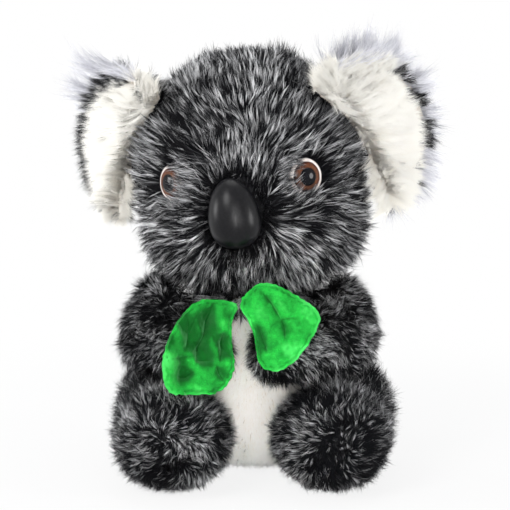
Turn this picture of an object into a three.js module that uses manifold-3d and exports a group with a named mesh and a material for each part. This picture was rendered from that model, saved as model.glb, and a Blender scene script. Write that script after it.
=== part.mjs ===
// A plush koala that sits upright and holds a pair of cloth leaves.
// Millimetres. +X is the toy's own left, -Y is the way it faces and +Z is up.
// It sits on the plane z = 0, and the origin is the middle of the flat under its body.
import * as THREE from "three";
import { mergeVertices } from "three/addons/utils/BufferGeometryUtils.js";
import Module from "manifold-3d";

const wasm = await Module();
wasm.setup();

// Clearances and fabrics
const FIT = 0.3; // air between pieces that touch
const TURNING_FIT = 0.8; // air between pieces that turn past each other
const TURN_STEP = 5.5; // degrees between the places at which limbs are cut clear of each other
const SETTLE = 0.5; // how deep a soft form is pressed flat where it sits
const OVERRUN = 20; // how far a cutting block runs past what it cuts
const FUR_WALL = 6; // long fur and its backing cloth

// Body: an egg that narrows to the neck
const BODY = {
  halfWidth: 43,
  front: 39,
  back: 46,
  drop: 37,
  fullBelow: 2.8,
  fullAbove: 2.1,
};
const NECK = { height: 100, aside: 2, intoHead: 22, headHangs: 12, holeRadius: 19, plug: 10, play: 12 };
const BELLY = { halfWidth: 29, halfHeight: 62, middle: 46 };
const BASE = { height: 7 };
const PELLET_BAG = { top: 25 };

// Head: wider than deep, low cheeks, a high round crown, and a slight muzzle
const HEAD = {
  halfWidth: 56.5,
  front: 50,
  back: 52,
  drop: 43,
  rise: 79,
  fullBelow: 2.6,
  fullAbove: 2.45,
  ahead: 3,
  turn: -9,
  lean: -4,
  seamAhead: 8,
};
const MUZZLE = { rise: 5, reach: 19, above: 4 };

// Nose: a moulded egg, narrow at the top, on a stem with a lock washer
const NOSE = {
  halfWidth: 12.5,
  front: 11.5,
  back: 5,
  rise: 20.5,
  drop: 13.2,
  above: 1,
  stands: 2.5,
  fullBelow: 2.3,
  fullAbove: 1.9,
};

// Eyes: a white cup, a brown ring, a black button, on a stem with a lock washer
const EYE = {
  radius: 9.1,
  irisRadius: 7.3,
  pupilRadius: 4.6,
  domeRadius: 15,
  apex: 2.2,
  floor: 2.4,
  irisFloor: 0.9,
  back: 4.6,
  aside: 40,
  above: 18,
  tilt: 4,
};
const STEM = { radius: 2.2, length: 16 };
const WASHER = { radius: 6.5, wall: 2 };

// Ears: half-moon flaps, long white plush in front and dark fur behind
const EAR = {
  reach: 42,
  halfLength: 38,
  liningPile: 11,
  backPile: 6,
  fringe: 6.5,
  edge: 4,
  cup: 4,
  aside: 81,
  above: 30,
  sweep: 43,
  tilt: 25,
  play: 10,
};

// Legs: a thigh lobe at the hip and a round foot that points ahead
const LEG = {
  hipOut: 36,
  hipBehind: 10,
  hipHeight: 31,
  footAhead: 88,
  footHalfHeight: 26.3,
  footHalfWidth: 30,
  thighHalfHeight: 28,
  thighHalfWidth: 29,
  thighOut: 43,
  creaseDepth: 2.5,
  seamAhead: 46,
  hipRound: 24,
  footRound: 33,
  inward: 4,
  outward: 12,
};

const FOOT_OUT = { left: 37, right: 40 };

// Arms: a full sleeve from the shoulder to the elbow, then in to the paw
const ARM = {
  shoulderOut: 32,
  shoulderBelow: 7,
  radius: 21.5,
  shoulderRound: 17,
  pawRound: 17,
  outward: 15,
};
const LEFT_ARM = { elbowOut: 9, across: 35, forward: 58, down: 27 };
const RIGHT_ARM = { elbowOut: 14.5, across: 17, forward: 53, down: 29 };

// Leaves: two layers of velour each, sewn at the edge
const LEAF = { layer: 2.1, edge: 1.1 };
const LEFT_LEAF = {
  halfWidth: 19,
  halfHeight: 20.3,
  across: 20,
  below: 9,
  tiltBack: 14,
  turn: 6,
  fold: 3,
};
const RIGHT_LEAF = {
  halfWidth: 18.5,
  halfHeight: 22.5,
  across: 5,
  below: 21,
  tiltBack: 12,
  turn: 12,
  fold: 4.5,
};

// Outline points, as shares of the half sizes that they follow
const EAR_OUTLINE_SHARES = [
  [-0.4, 0],
  [-0.5, 0.5],
  [-0.32, 0.9],
  [-0.08, 1.03],
  [0.32, 1.04],
  [0.72, 0.82],
  [0.95, 0.45],
  [1, 0],
  [0.93, -0.42],
  [0.68, -0.78],
  [0.32, -0.98],
  [-0.06, -0.92],
  [-0.32, -0.56],
];
const LEFT_LEAF_OUTLINE_SHARES = [
  [-1, 0.4],
  [-0.86, 0.72],
  [-0.52, 0.96],
  [-0.1, 0.92],
  [0.55, 0.6],
  [0.9, 0.36],
  [0.98, 0.06],
  [0.66, -0.5],
  [0.22, -0.96],
  [-0.16, -1.08],
  [-0.5, -0.9],
  [-0.62, -0.4],
  [-0.78, 0.04],
];
const RIGHT_LEAF_OUTLINE_SHARES = [
  [1.04, 0.86],
  [0.6, 0.98],
  [0.1, 0.98],
  [-0.34, 0.74],
  [-0.76, 0.22],
  [-0.98, -0.4],
  [-0.8, -0.92],
  [-0.1, -1],
  [0.52, -0.94],
  [0.88, -0.5],
  [0.86, 0.1],
  [0.9, 0.52],
];
// Along the arm: how far out, across, forward and down its spine has gone at each point
const ARM_SPINE_SHARES = [
  [0, 0, -0.07, -0.08],
  [0.72, 0, 0.08, 0.42],
  [1, 0, 0.42, 0.98],
  [0, 0.36, 0.82, 1],
  [0, 1, 1, 0.76],
];
const ARM_RADIUS_SHARES = [0.76, 0.92, 1.03, 0.92, 0.8];
// Along the leg: how far ahead its spine has gone at the middle of the thigh and of the crease
const LEG_AHEAD_SHARES = { thigh: 1 / 4, crease: 2 / 3 };
// The fold across a leaf: how narrow and how slanted it is, and how much the rest curls
const LEAF_FOLD_SHARES = { narrow: 2, slant: 1 / 2, curl: 1 / 2 };

// Detail of the meshes
const BODY_MESH = { around: 24, rows: 14 };
const HEAD_MESH = { around: 28, rows: 18 };
const INNER_MESH = { around: 16, rows: 10 };
const LIMB_MESH = { around: 16, rows: 14 };
const LIMB_INNER_MESH = { around: 12, rows: 8 };
const EAR_MESH = { around: 24, rings: 3 };
const LEAF_MESH = { around: 28, rings: 3 };
const ROUND_SIDES = 16;
const DOME_STEPS = 3;

const COLOURS = {
  fur: 0x4b4b4d,
  darkFur: 0x2c2c2e,
  plush: 0xf0ece2,
  stuffing: 0xf7f7f4,
  leaf: 0x1fae3a,
  nose: 0x17171a,
  eyeWhite: 0xf3e6de,
  iris: 0x7a3a17,
  pupil: 0x050506,
  washer: 0xdfe3e6,
  pellets: 0xd9d2c0,
};

const radians = THREE.MathUtils.degToRad;

// A closed solid from a geometry: shared vertices are merged first.
function solidOf(geometry) {
  const bare = geometry.clone();
  for (const name of Object.keys(bare.attributes)) {
    if (name !== "position") bare.deleteAttribute(name);
  }
  const merged = mergeVertices(bare);
  return new wasm.Manifold(
    new wasm.Mesh({
      numProp: 3,
      vertProperties: new Float32Array(merged.attributes.position.array),
      triVerts: new Uint32Array(merged.index.array),
    }),
  );
}

// The geometry of a solid, for a mesh of the scene.
function geometryOf(solid) {
  const mesh = solid.getMesh();
  const positions = new Float32Array(mesh.numVert * 3);
  for (let i = 0; i < mesh.numVert; i++) {
    const start = i * mesh.numProp;
    positions.set(mesh.vertProperties.subarray(start, start + 3), i * 3);
  }
  return new THREE.BufferGeometry()
    .setAttribute("position", new THREE.BufferAttribute(positions, 3))
    .setIndex(new THREE.BufferAttribute(new Uint32Array(mesh.triVerts), 1));
}

// A closed skin over rings of points, with one pole before the first and one after the last.
function skinOver(firstPole, rings, lastPole) {
  const around = rings[0].length;
  const points = [firstPole, ...rings.flat(), lastPole];
  const last = points.length - 1;
  const at = (ring, side) => 1 + ring * around + (side % around);
  const faces = [];
  for (let side = 0; side < around; side++) {
    faces.push(0, at(0, side + 1), at(0, side));
    faces.push(last, at(rings.length - 1, side), at(rings.length - 1, side + 1));
    for (let ring = 0; ring + 1 < rings.length; ring++) {
      const [a, b] = [at(ring, side), at(ring, side + 1)];
      const [c, d] = [at(ring + 1, side + 1), at(ring + 1, side)];
      faces.push(a, b, c, a, c, d);
    }
  }
  return new THREE.BufferGeometry().setFromPoints(points).setIndex(faces);
}

// An egg about its widest level. Its sizes are reaches from there, grown by the same length.
function egg(size, mesh, grow = 0, bumps = []) {
  const reach = (length) => length + grow;
  const pointAt = (row, side) => {
    const fall = (Math.PI * row) / mesh.rows;
    const turn = (2 * Math.PI * side) / mesh.around;
    const up = -Math.cos(fall);
    const power = 2 / (up < 0 ? size.fullBelow : size.fullAbove);
    const spread = Math.sin(fall) ** power;
    const height = Math.sign(up) * Math.abs(up) ** power;
    const depth = Math.sin(turn) < 0 ? size.front : size.back;
    const point = new THREE.Vector3(
      reach(size.halfWidth) * spread * Math.cos(turn),
      reach(depth) * spread * Math.sin(turn),
      reach(up < 0 ? size.drop : size.rise) * height,
    );
    for (const bump of bumps) {
      const away = point.distanceTo(bump.at) / bump.reach;
      point.addScaledVector(bump.towards, bump.rise * Math.exp(-(away ** 2)));
    }
    return point;
  };
  const rings = [];
  for (let row = 1; row < mesh.rows; row++) {
    rings.push(Array.from({ length: mesh.around }, (_, side) => pointAt(row, side)));
  }
  const pole = (height) => new THREE.Vector3(0, 0, height);
  return skinOver(pole(-reach(size.drop)), rings, pole(reach(size.rise)));
}

// A value between the entries of a list, at a share of its length, without corners.
function between(values, share) {
  const place = share * (values.length - 1);
  const from = Math.min(Math.floor(place), values.length - 2);
  const ease = THREE.MathUtils.smoothstep(place - from, 0, 1);
  return THREE.MathUtils.lerp(values[from], values[from + 1], ease);
}

// A round-ended limb along a spine. widths and heights are its half sizes from end to end,
// and rounds are the lengths over which its two ends close.
function limb({ spine, widths, heights, rounds }, mesh, grow = 0) {
  const curve = new THREE.CatmullRomCurve3(spine, false, "centripetal");
  const length = curve.getLength();
  const aside = new THREE.Vector3(1, 0, 0);
  const closing = (share, round) => {
    const open = Math.min((share * length) / round, 1);
    return Math.sqrt(1 - (1 - open) ** 2);
  };
  const ringAt = (row) => {
    const share = (1 - Math.cos((Math.PI * row) / mesh.rows)) / 2;
    const tangent = curve.getTangentAt(share);
    const wide = aside.clone().addScaledVector(tangent, -aside.dot(tangent)).normalize();
    const tall = tangent.clone().cross(wide);
    const centre = curve.getPointAt(share);
    centre.addScaledVector(tangent, (2 * share - 1) * grow);
    const spread = closing(share, rounds[0]) * closing(1 - share, rounds[1]);
    const halfWide = (between(widths, share) + grow) * spread;
    const halfTall = (between(heights, share) + grow) * spread;
    return Array.from({ length: mesh.around }, (_, side) => {
      const turn = (2 * Math.PI * side) / mesh.around;
      return centre
        .clone()
        .addScaledVector(wide, halfWide * Math.cos(turn))
        .addScaledVector(tall, halfTall * Math.sin(turn));
    });
  };
  const rings = Array.from({ length: mesh.rows - 1 }, (_, row) => ringAt(row + 1));
  const tip = (share) =>
    curve.getPointAt(share).addScaledVector(curve.getTangentAt(share), (2 * share - 1) * grow);
  return skinOver(tip(0), rings, tip(1));
}

// A flat-edged pad in the XZ plane. frontAt and backAt give its two faces, as places on Y.
function pad(outline, mesh, frontAt, backAt) {
  const ringAt = (share, faceAt) =>
    outline.map(({ x, z }) => {
      const [px, pz] = [x * share, z * share];
      return new THREE.Vector3(px, faceAt(px, pz, share), pz);
    });
  const shares = Array.from({ length: mesh.rings }, (_, ring) => (ring + 1) / mesh.rings);
  const rings = [
    ...shares.map((share) => ringAt(share, frontAt)),
    ...shares.reverse().map((share) => ringAt(share, backAt)),
  ];
  const centre = (faceAt) => new THREE.Vector3(0, faceAt(0, 0, 0), 0);
  return skinOver(centre(frontAt), rings, centre(backAt));
}

// A smooth closed outline in the XZ plane, through points given as shares of two half sizes.
function outlineOf(shares, halfWidth, halfHeight, around) {
  const points = shares.map(([x, z]) => new THREE.Vector3(x * halfWidth, 0, z * halfHeight));
  const curve = new THREE.CatmullRomCurve3(points, true, "centripetal");
  const outline = curve.getSpacedPoints(around).slice(0, around);
  const area = outline.reduce((sum, p, i) => {
    const q = outline[(i + 1) % around];
    return sum + p.x * q.z - q.x * p.z;
  }, 0);
  return area < 0 ? outline : outline.reverse();
}

// A round piece turned about +Z, from a profile of radius and height that starts and ends on Z.
function turned(profile) {
  const points = profile.map(([radius, height]) => new THREE.Vector2(radius, height));
  return new THREE.LatheGeometry(points, ROUND_SIDES).rotateX(Math.PI / 2);
}

// A block between two corners.
function block(low, high) {
  const size = new THREE.Vector3().subVectors(high, low);
  const middle = new THREE.Vector3().addVectors(low, high).multiplyScalar(1 / 2);
  return new THREE.BoxGeometry(size.x, size.y, size.z).translate(middle.x, middle.y, middle.z);
}

// Where a ray first meets a geometry, in the geometry's own frame.
function meets(geometry, origin, direction) {
  const target = new THREE.Mesh(geometry, new THREE.MeshBasicMaterial({ side: THREE.DoubleSide }));
  const hits = new THREE.Raycaster(origin, direction.clone().normalize()).intersectObject(target);
  return hits.length ? hits[0].point : null;
}

// How far one geometry can move along a direction before it meets another, both in one frame.
function roomBetween(moving, fixed, direction) {
  const nearest = (from, to, along) => {
    const places = from.attributes.position;
    let room = Infinity;
    for (let i = 0; i < places.count; i++) {
      const place = new THREE.Vector3().fromBufferAttribute(places, i);
      const hit = meets(to, place, along);
      if (hit) room = Math.min(room, place.distanceTo(hit));
    }
    return room;
  };
  const back = direction.clone().negate();
  return Math.min(nearest(moving, fixed, direction), nearest(fixed, moving, back));
}

// Where a group lies when it has turned about the upright or leaning line through its origin.
function turnedFrame(group, axis, degrees) {
  const origin = new THREE.Vector3().setFromMatrixPosition(group.matrixWorld);
  return new THREE.Matrix4()
    .makeTranslation(origin)
    .multiply(new THREE.Matrix4().makeRotationAxis(axis, radians(degrees)))
    .multiply(new THREE.Matrix4().makeTranslation(origin.negate()))
    .multiply(group.matrixWorld);
}

// The turns between two limits, in even steps.
function travel(from, to) {
  const steps = Math.ceil(Math.abs(to - from) / TURN_STEP);
  return Array.from({ length: steps + 1 }, (_, i) => from + ((to - from) * i) / steps);
}

// The solids that a neighbour's form makes in a piece's frame, over the travel of both.
function passes(geometry, neighbourFrames, ownFrames) {
  return ownFrames.flatMap((own) =>
    neighbourFrames.map((other) => {
      const move = own.clone().invert().multiply(other);
      return solidOf(geometry.clone().applyMatrix4(move));
    }),
  );
}

const cut = (solid, tools) => tools.reduce((rest, tool) => rest.subtract(tool), solid);

const UP = new THREE.Vector3(0, 0, 1);
const koala = new THREE.Group();

function group(parent, x, y, z) {
  const made = new THREE.Group();
  made.position.set(x, y, z);
  parent.add(made);
  made.updateMatrixWorld(true);
  return made;
}

function addPiece(parent, name, solid, colour, roughness) {
  const material = new THREE.MeshStandardMaterial({ color: colour, roughness, metalness: 0 });
  const mesh = new THREE.Mesh(geometryOf(solid), material);
  mesh.name = name;
  parent.add(mesh);
}

const SOFT = 0.95;
const SATIN = 0.45;
const GLOSSY = 0.15;

// Frames of the moving parts
const bodyMiddle = BODY.drop - SETTLE;
const bodySize = { ...BODY, rise: NECK.height + NECK.intoHead - bodyMiddle };
const body = group(koala, 0, 0, bodyMiddle);

const head = group(koala, NECK.aside, 0, NECK.height);
head.rotation.order = "ZYX";
head.rotation.set(0, radians(HEAD.lean), radians(HEAD.turn));
head.updateMatrixWorld(true);
const headAxis = UP.clone().transformDirection(head.matrixWorld);
const headMiddle = new THREE.Vector3(0, -HEAD.ahead, HEAD.drop - NECK.headHangs);

const sides = { left: 1, right: -1 };
const legs = {};
const arms = {};
for (const [side, sign] of Object.entries(sides)) {
  legs[side] = group(koala, sign * LEG.hipOut, LEG.hipBehind, LEG.hipHeight);
  arms[side] = group(koala, sign * ARM.shoulderOut, 0, NECK.height - ARM.shoulderBelow);
}

// Forms of the head, the body and the limbs, each in its own frame and grown by a length
function headForm(grow, mesh) {
  const muzzleDepth = HEAD.front * Math.sqrt(1 - (MUZZLE.above / HEAD.rise) ** 2);
  const muzzle = {
    at: new THREE.Vector3(0, -muzzleDepth, MUZZLE.above),
    towards: new THREE.Vector3(0, -1, 0),
    rise: MUZZLE.rise,
    reach: MUZZLE.reach,
  };
  return egg(HEAD, mesh, grow, [muzzle]).translate(...headMiddle);
}

function bodyForm(grow, mesh) {
  return egg(bodySize, mesh, grow);
}

function legForm(side, grow, mesh) {
  const sign = sides[side];
  const footMiddle = LEG.footHalfHeight - SETTLE - LEG.hipHeight;
  const along = (share) => -share * (LEG.footAhead + LEG.hipBehind);
  const thighOut = sign * (LEG.thighOut - LEG.hipOut);
  const footOut = sign * (FOOT_OUT[side] - LEG.hipOut);
  const thighDown = LEG.thighHalfHeight - LEG.hipHeight;
  const halfSizes = (thigh, foot) => [thigh, thigh, Math.min(thigh, foot) - LEG.creaseDepth, foot, foot];
  const spine = [
    new THREE.Vector3(0, LEG.hipBehind, 0),
    new THREE.Vector3(thighOut, along(LEG_AHEAD_SHARES.thigh), thighDown / 2),
    new THREE.Vector3(footOut, along(LEG_AHEAD_SHARES.crease), footMiddle),
    new THREE.Vector3(footOut, along(1), footMiddle),
  ];
  return limb(
    {
      spine,
      widths: halfSizes(LEG.thighHalfWidth, LEG.footHalfWidth),
      heights: halfSizes(LEG.thighHalfHeight, LEG.footHalfHeight),
      rounds: [LEG.hipRound, LEG.footRound],
    },
    mesh,
    grow,
  );
}

function armForm(sign, size, grow, mesh) {
  const spine = ARM_SPINE_SHARES.map(
    ([out, across, forward, down]) =>
      new THREE.Vector3(
        sign * (out * size.elbowOut - across * size.across),
        -forward * size.forward,
        -down * size.down,
      ),
  );
  const radii = ARM_RADIUS_SHARES.map((share) => share * ARM.radius);
  const rounds = [ARM.shoulderRound, ARM.pawRound];
  return limb({ spine, widths: radii, heights: radii, rounds }, mesh, grow);
}

// Travel of the moving parts
const headFrames = [-NECK.play, NECK.play].map((turn) => turnedFrame(head, headAxis, turn));
const framesOf = (part, turns) => turns.map((turn) => turnedFrame(part, UP, turn));
const legFrames = (side) => {
  const sign = sides[side];
  return framesOf(legs[side], travel(-sign * LEG.inward, sign * LEG.outward));
};
const armFrames = (side) => {
  return framesOf(arms[side], travel(0, sides[side] * ARM.outward));
};
const bodyFrames = [body.matrixWorld];
const floorFrames = [koala.matrixWorld];

const far = 2 * (HEAD.halfWidth + HEAD.rise + OVERRUN);
const floorBlock = block(new THREE.Vector3(-far, -far, -far), new THREE.Vector3(far, far, 0));

// Body: a dark cover, a white belly panel, a base panel, stuffing and a bag of pellets
function buildBody() {
  const outer = solidOf(bodyForm(0, BODY_MESH));
  const hollow = solidOf(bodyForm(-FUR_WALL, INNER_MESH));
  const clear = [
    ...passes(headForm(TURNING_FIT, HEAD_MESH), headFrames, bodyFrames),
    ...passes(floorBlock, floorFrames, bodyFrames),
  ];
  const shell = cut(outer, [...clear, hollow]);

  const below = (height) =>
    solidOf(
      block(
        new THREE.Vector3(-far, -far, -far),
        new THREE.Vector3(far, far, height - bodyMiddle),
      ),
    );
  addPiece(body, "base_panel", shell.intersect(below(BASE.height)), COLOURS.darkFur, SOFT);

  const bellyBlock = (grow) => {
    const outline = new THREE.Shape().absellipse(
      0,
      BELLY.middle - bodyMiddle,
      BELLY.halfWidth + grow,
      BELLY.halfHeight + grow,
      0,
      2 * Math.PI,
    );
    const depth = BODY.front + OVERRUN;
    const extruded = new THREE.ExtrudeGeometry(outline, {
      depth,
      bevelEnabled: false,
      curveSegments: BODY_MESH.rows,
    });
    return solidOf(extruded.rotateX(Math.PI / 2));
  };
  const walls = shell.subtract(below(BASE.height + FIT));
  addPiece(body, "belly_panel", walls.intersect(bellyBlock(0)), COLOURS.plush, SOFT);
  addPiece(body, "body_cover", walls.subtract(bellyBlock(FIT)), COLOURS.darkFur, SOFT);

  const filling = cut(solidOf(bodyForm(-FUR_WALL - FIT, INNER_MESH)), clear);
  const bag = filling.intersect(below(PELLET_BAG.top));
  addPiece(body, "pellet_bag", bag, COLOURS.pellets, SOFT);
  const stuffing = filling.subtract(below(PELLET_BAG.top + FIT));
  const toBody = body.matrixWorld.clone().invert().multiply(head.matrixWorld);
  const plug = cylinder(NECK.holeRadius - 2 * FIT, -NECK.headHangs - OVERRUN, NECK.plug);
  addPiece(body, "body_stuffing", stuffing.add(movedBy(plug, toBody)), COLOURS.stuffing, SOFT);
}

// Dome of the eye: how far it stands out at a radius
function domeAt(radius) {
  return EYE.apex - EYE.domeRadius + Math.sqrt(EYE.domeRadius ** 2 - radius ** 2);
}

function domeArc(from, to) {
  return Array.from({ length: DOME_STEPS + 1 }, (_, step) => {
    const radius = THREE.MathUtils.lerp(from, to, step / DOME_STEPS);
    return [radius, domeAt(radius)];
  });
}

function cylinder(radius, low, high) {
  return solidOf(turned([[0, low], [radius, low], [radius, high], [0, high]]));
}

// The ring that locks a stem inside the cover, and the pocket that it takes in the stuffing
function washerSolids(deep) {
  const low = -deep - WASHER.wall;
  const bore = cylinder(STEM.radius + FIT, low - OVERRUN, OVERRUN);
  return {
    ring: cylinder(WASHER.radius, low, -deep).subtract(bore),
    pocket: cylinder(WASHER.radius + FIT, low - FIT, 0),
  };
}

function stemSolid(deep, grow) {
  return cylinder(STEM.radius + grow, -deep - STEM.length - grow, 0);
}

// How deep under a seat on the face the inside of the cover lies, over a washer's width
function coverDepth(hollow, frame) {
  const inside = HEAD.front / 2;
  const outward = UP.clone().transformDirection(frame);
  const depths = Array.from({ length: ROUND_SIDES }, (_, side) => {
    const turn = (2 * Math.PI * side) / ROUND_SIDES;
    const [x, y] = [WASHER.radius * Math.cos(turn), WASHER.radius * Math.sin(turn)];
    const start = new THREE.Vector3(x, y, -inside).applyMatrix4(frame);
    return inside - start.distanceTo(meets(hollow, start, outward));
  });
  return Math.max(...depths) + FIT;
}

// A moulded eye in its own frame, with +Z pointing out of the face
function eyeSolids() {
  const cup = turned([
    [0, -EYE.back],
    [EYE.radius, -EYE.back],
    ...domeArc(EYE.radius, EYE.irisRadius + FIT),
    [EYE.irisRadius + FIT, -EYE.floor],
    [0, -EYE.floor],
  ]);
  const iris = turned([
    [0, -EYE.floor + FIT],
    [EYE.irisRadius, -EYE.floor + FIT],
    ...domeArc(EYE.irisRadius, EYE.pupilRadius + FIT),
    [EYE.pupilRadius + FIT, -EYE.irisFloor],
    [0, -EYE.irisFloor],
  ]);
  const pupil = turned([
    [0, -EYE.irisFloor + FIT],
    [EYE.pupilRadius, -EYE.irisFloor + FIT],
    ...domeArc(EYE.pupilRadius, 0),
  ]);
  const stem = cylinder(STEM.radius, -STEM.length, -(EYE.back + EYE.floor) / 2);
  const room = cylinder(EYE.radius + FIT, -EYE.back - FIT, EYE.apex + OVERRUN);
  return { cup: solidOf(cup).add(stem), iris: solidOf(iris), pupil: solidOf(pupil), room };
}

function movedBy(solid, frame) {
  return solidOf(geometryOf(solid).applyMatrix4(frame));
}

// Head: face and back covers, stuffing, nose, eyes and ears
function buildHead() {
  const skin = headForm(0, HEAD_MESH);
  const inside = headForm(-FUR_WALL, INNER_MESH);
  const rooms = [];
  const pockets = [];

  const eye = eyeSolids();
  for (const [side, sign] of Object.entries(sides)) {
    const azimuth = radians(sign * EYE.aside);
    const level = headMiddle.clone().add(new THREE.Vector3(0, 0, EYE.above));
    const outward = new THREE.Vector3(Math.sin(azimuth), -Math.cos(azimuth), 0);
    const seat = meets(skin, level, outward);
    outward.z = Math.tan(radians(EYE.tilt));
    const frame = group(head, ...seat);
    frame.quaternion.setFromUnitVectors(UP, outward.normalize());
    frame.updateMatrix();
    addPiece(frame, side + "_eye_white", eye.cup, COLOURS.eyeWhite, GLOSSY);
    addPiece(frame, side + "_eye_iris", eye.iris, COLOURS.iris, GLOSSY);
    addPiece(frame, side + "_eye_pupil", eye.pupil, COLOURS.pupil, GLOSSY);
    const washer = washerSolids(coverDepth(inside, frame.matrix));
    addPiece(frame, side + "_eye_washer", washer.ring, COLOURS.washer, SATIN);
    rooms.push(movedBy(eye.room, frame.matrix), movedBy(stemSolid(0, FIT), frame.matrix));
    pockets.push(movedBy(washer.pocket, frame.matrix));
  }

  const noseLevel = headMiddle.clone().add(new THREE.Vector3(0, 0, NOSE.above));
  const noseSeat = meets(skin, noseLevel, new THREE.Vector3(0, -1, 0));
  const noseFrame = group(head, ...noseSeat.add(new THREE.Vector3(0, -NOSE.stands, 0)));
  const backwards = new THREE.Matrix4().makeRotationX(Math.PI / 2);
  const noseSolid = (grow) =>
    solidOf(egg(NOSE, INNER_MESH, grow)).add(movedBy(stemSolid(NOSE.stands, grow), backwards));
  addPiece(noseFrame, "nose", noseSolid(0), COLOURS.nose, SATIN);
  noseFrame.updateMatrix();
  const noseAxis = noseFrame.matrix.clone().multiply(backwards);
  const noseWasher = washerSolids(coverDepth(inside, noseAxis));
  addPiece(noseFrame, "nose_washer", movedBy(noseWasher.ring, backwards), COLOURS.washer, SATIN);
  rooms.push(movedBy(noseSolid(FIT), noseFrame.matrix));
  pockets.push(movedBy(noseWasher.pocket, noseAxis));

  const neckHole = cylinder(NECK.holeRadius, -far, headMiddle.z);
  const shell = cut(solidOf(skin), [solidOf(inside), neckHole, ...rooms]);
  const ahead = (place) =>
    solidOf(block(new THREE.Vector3(-far, -far, -far), new THREE.Vector3(far, place, far)));
  addPiece(head, "face_cover", shell.intersect(ahead(-HEAD.seamAhead)), COLOURS.fur, SOFT);
  addPiece(head, "head_back_cover", shell.subtract(ahead(FIT - HEAD.seamAhead)), COLOURS.darkFur, SOFT);
  const filling = solidOf(headForm(-FUR_WALL - FIT, INNER_MESH));
  const neckRoom = cylinder(NECK.holeRadius, -far, NECK.plug + FIT);
  const stuffing = cut(filling, [...rooms, ...pockets, neckRoom]);
  addPiece(head, "head_stuffing", stuffing, COLOURS.stuffing, SOFT);

  for (const [side, sign] of Object.entries(sides)) buildEar(side, sign, skin);
}

function buildEar(side, sign, skin) {
  const azimuth = radians(sign * EAR.aside);
  const level = headMiddle.clone().add(new THREE.Vector3(0, 0, EAR.above));
  const outward = new THREE.Vector3(Math.sin(azimuth), -Math.cos(azimuth), 0);
  const frame = group(head, ...meets(skin, level, outward));
  frame.rotation.order = "ZYX";
  frame.rotation.set(0, radians(-sign * EAR.tilt), radians(sign * EAR.sweep));
  frame.updateMatrixWorld(true);

  const shares = EAR_OUTLINE_SHARES.map(([x, z]) => [sign * x, z]);
  const outline = outlineOf(shares, EAR.reach, EAR.halfLength, EAR_MESH.around);
  const reach = EAR.reach + EAR.fringe;
  const fringed = outlineOf(shares, reach, EAR.halfLength + EAR.fringe, EAR_MESH.around);
  const middleAt = (share) => -EAR.cup * share ** 2;
  const backAt = (share) => middleAt((share * reach) / EAR.reach);
  const puff = (pile, share) => EAR.edge / 2 + pile * (1 - share ** 3);
  const lining = pad(
    outline,
    EAR_MESH,
    (x, z, share) => middleAt(share) - FIT / 2 - puff(EAR.liningPile, share),
    (x, z, share) => middleAt(share) - FIT / 2,
  );
  const back = pad(
    fringed,
    EAR_MESH,
    (x, z, share) => backAt(share) + FIT / 2,
    (x, z, share) => backAt(share) + FIT / 2 + puff(EAR.backPile, share),
  );
  const rootLine = UP.clone().transformDirection(frame.matrixWorld);
  const turns = [-EAR.play, 0, EAR.play];
  const frames = turns.map((turn) => turnedFrame(frame, rootLine, turn));
  const headRoom = passes(headForm(TURNING_FIT, HEAD_MESH), [head.matrixWorld], frames);
  addPiece(frame, side + "_ear_lining", cut(solidOf(lining), headRoom), COLOURS.plush, SOFT);
  addPiece(frame, side + "_ear_back", cut(solidOf(back), headRoom), COLOURS.darkFur, SOFT);
}

// Legs: a thigh cover, a foot cover and stuffing, cut by the body and flat on the floor
function buildLeg(side) {
  const frame = legs[side];
  const own = legFrames(side);
  const clear = [
    ...passes(bodyForm(TURNING_FIT, BODY_MESH), bodyFrames, own),
    ...passes(floorBlock, floorFrames, [frame.matrixWorld]),
  ];
  const outer = solidOf(legForm(side, 0, LIMB_MESH));
  const hollow = solidOf(legForm(side, -FUR_WALL, LIMB_INNER_MESH));
  const shell = cut(outer, [...clear, hollow]);
  const seam = -LEG.seamAhead - LEG.hipBehind;
  const ahead = (place) =>
    solidOf(block(new THREE.Vector3(-far, -far, -far), new THREE.Vector3(far, place, far)));
  addPiece(frame, side + "_foot_cover", shell.intersect(ahead(seam)), COLOURS.darkFur, SOFT);
  addPiece(frame, side + "_thigh_cover", shell.subtract(ahead(seam + FIT)), COLOURS.darkFur, SOFT);
  const filling = solidOf(legForm(side, -FUR_WALL - FIT, LIMB_INNER_MESH));
  addPiece(frame, side + "_leg_stuffing", cut(filling, clear), COLOURS.stuffing, SOFT);
}

// Arms: a cover and stuffing, cut by the head, the body and the leg below
function buildArm(side, size, leaf, shares) {
  const frame = arms[side];
  const sign = sides[side];
  const own = armFrames(side);
  const clear = [
    ...passes(headForm(TURNING_FIT, HEAD_MESH), headFrames, own),
    ...passes(bodyForm(TURNING_FIT, BODY_MESH), bodyFrames, own),
    ...passes(legForm(side, TURNING_FIT, LIMB_MESH), legFrames(side), own),
  ];
  const skin = armForm(sign, size, 0, LIMB_MESH);
  const hollow = solidOf(armForm(sign, size, -FUR_WALL, LIMB_INNER_MESH));
  addPiece(frame, side + "_arm_cover", cut(solidOf(skin), [...clear, hollow]), COLOURS.darkFur, SOFT);
  const filling = solidOf(armForm(sign, size, -FUR_WALL - FIT, LIMB_INNER_MESH));
  addPiece(frame, side + "_arm_stuffing", cut(filling, clear), COLOURS.stuffing, SOFT);
  buildLeaf(side, sign, leaf, shares, frame, skin);
}

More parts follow.
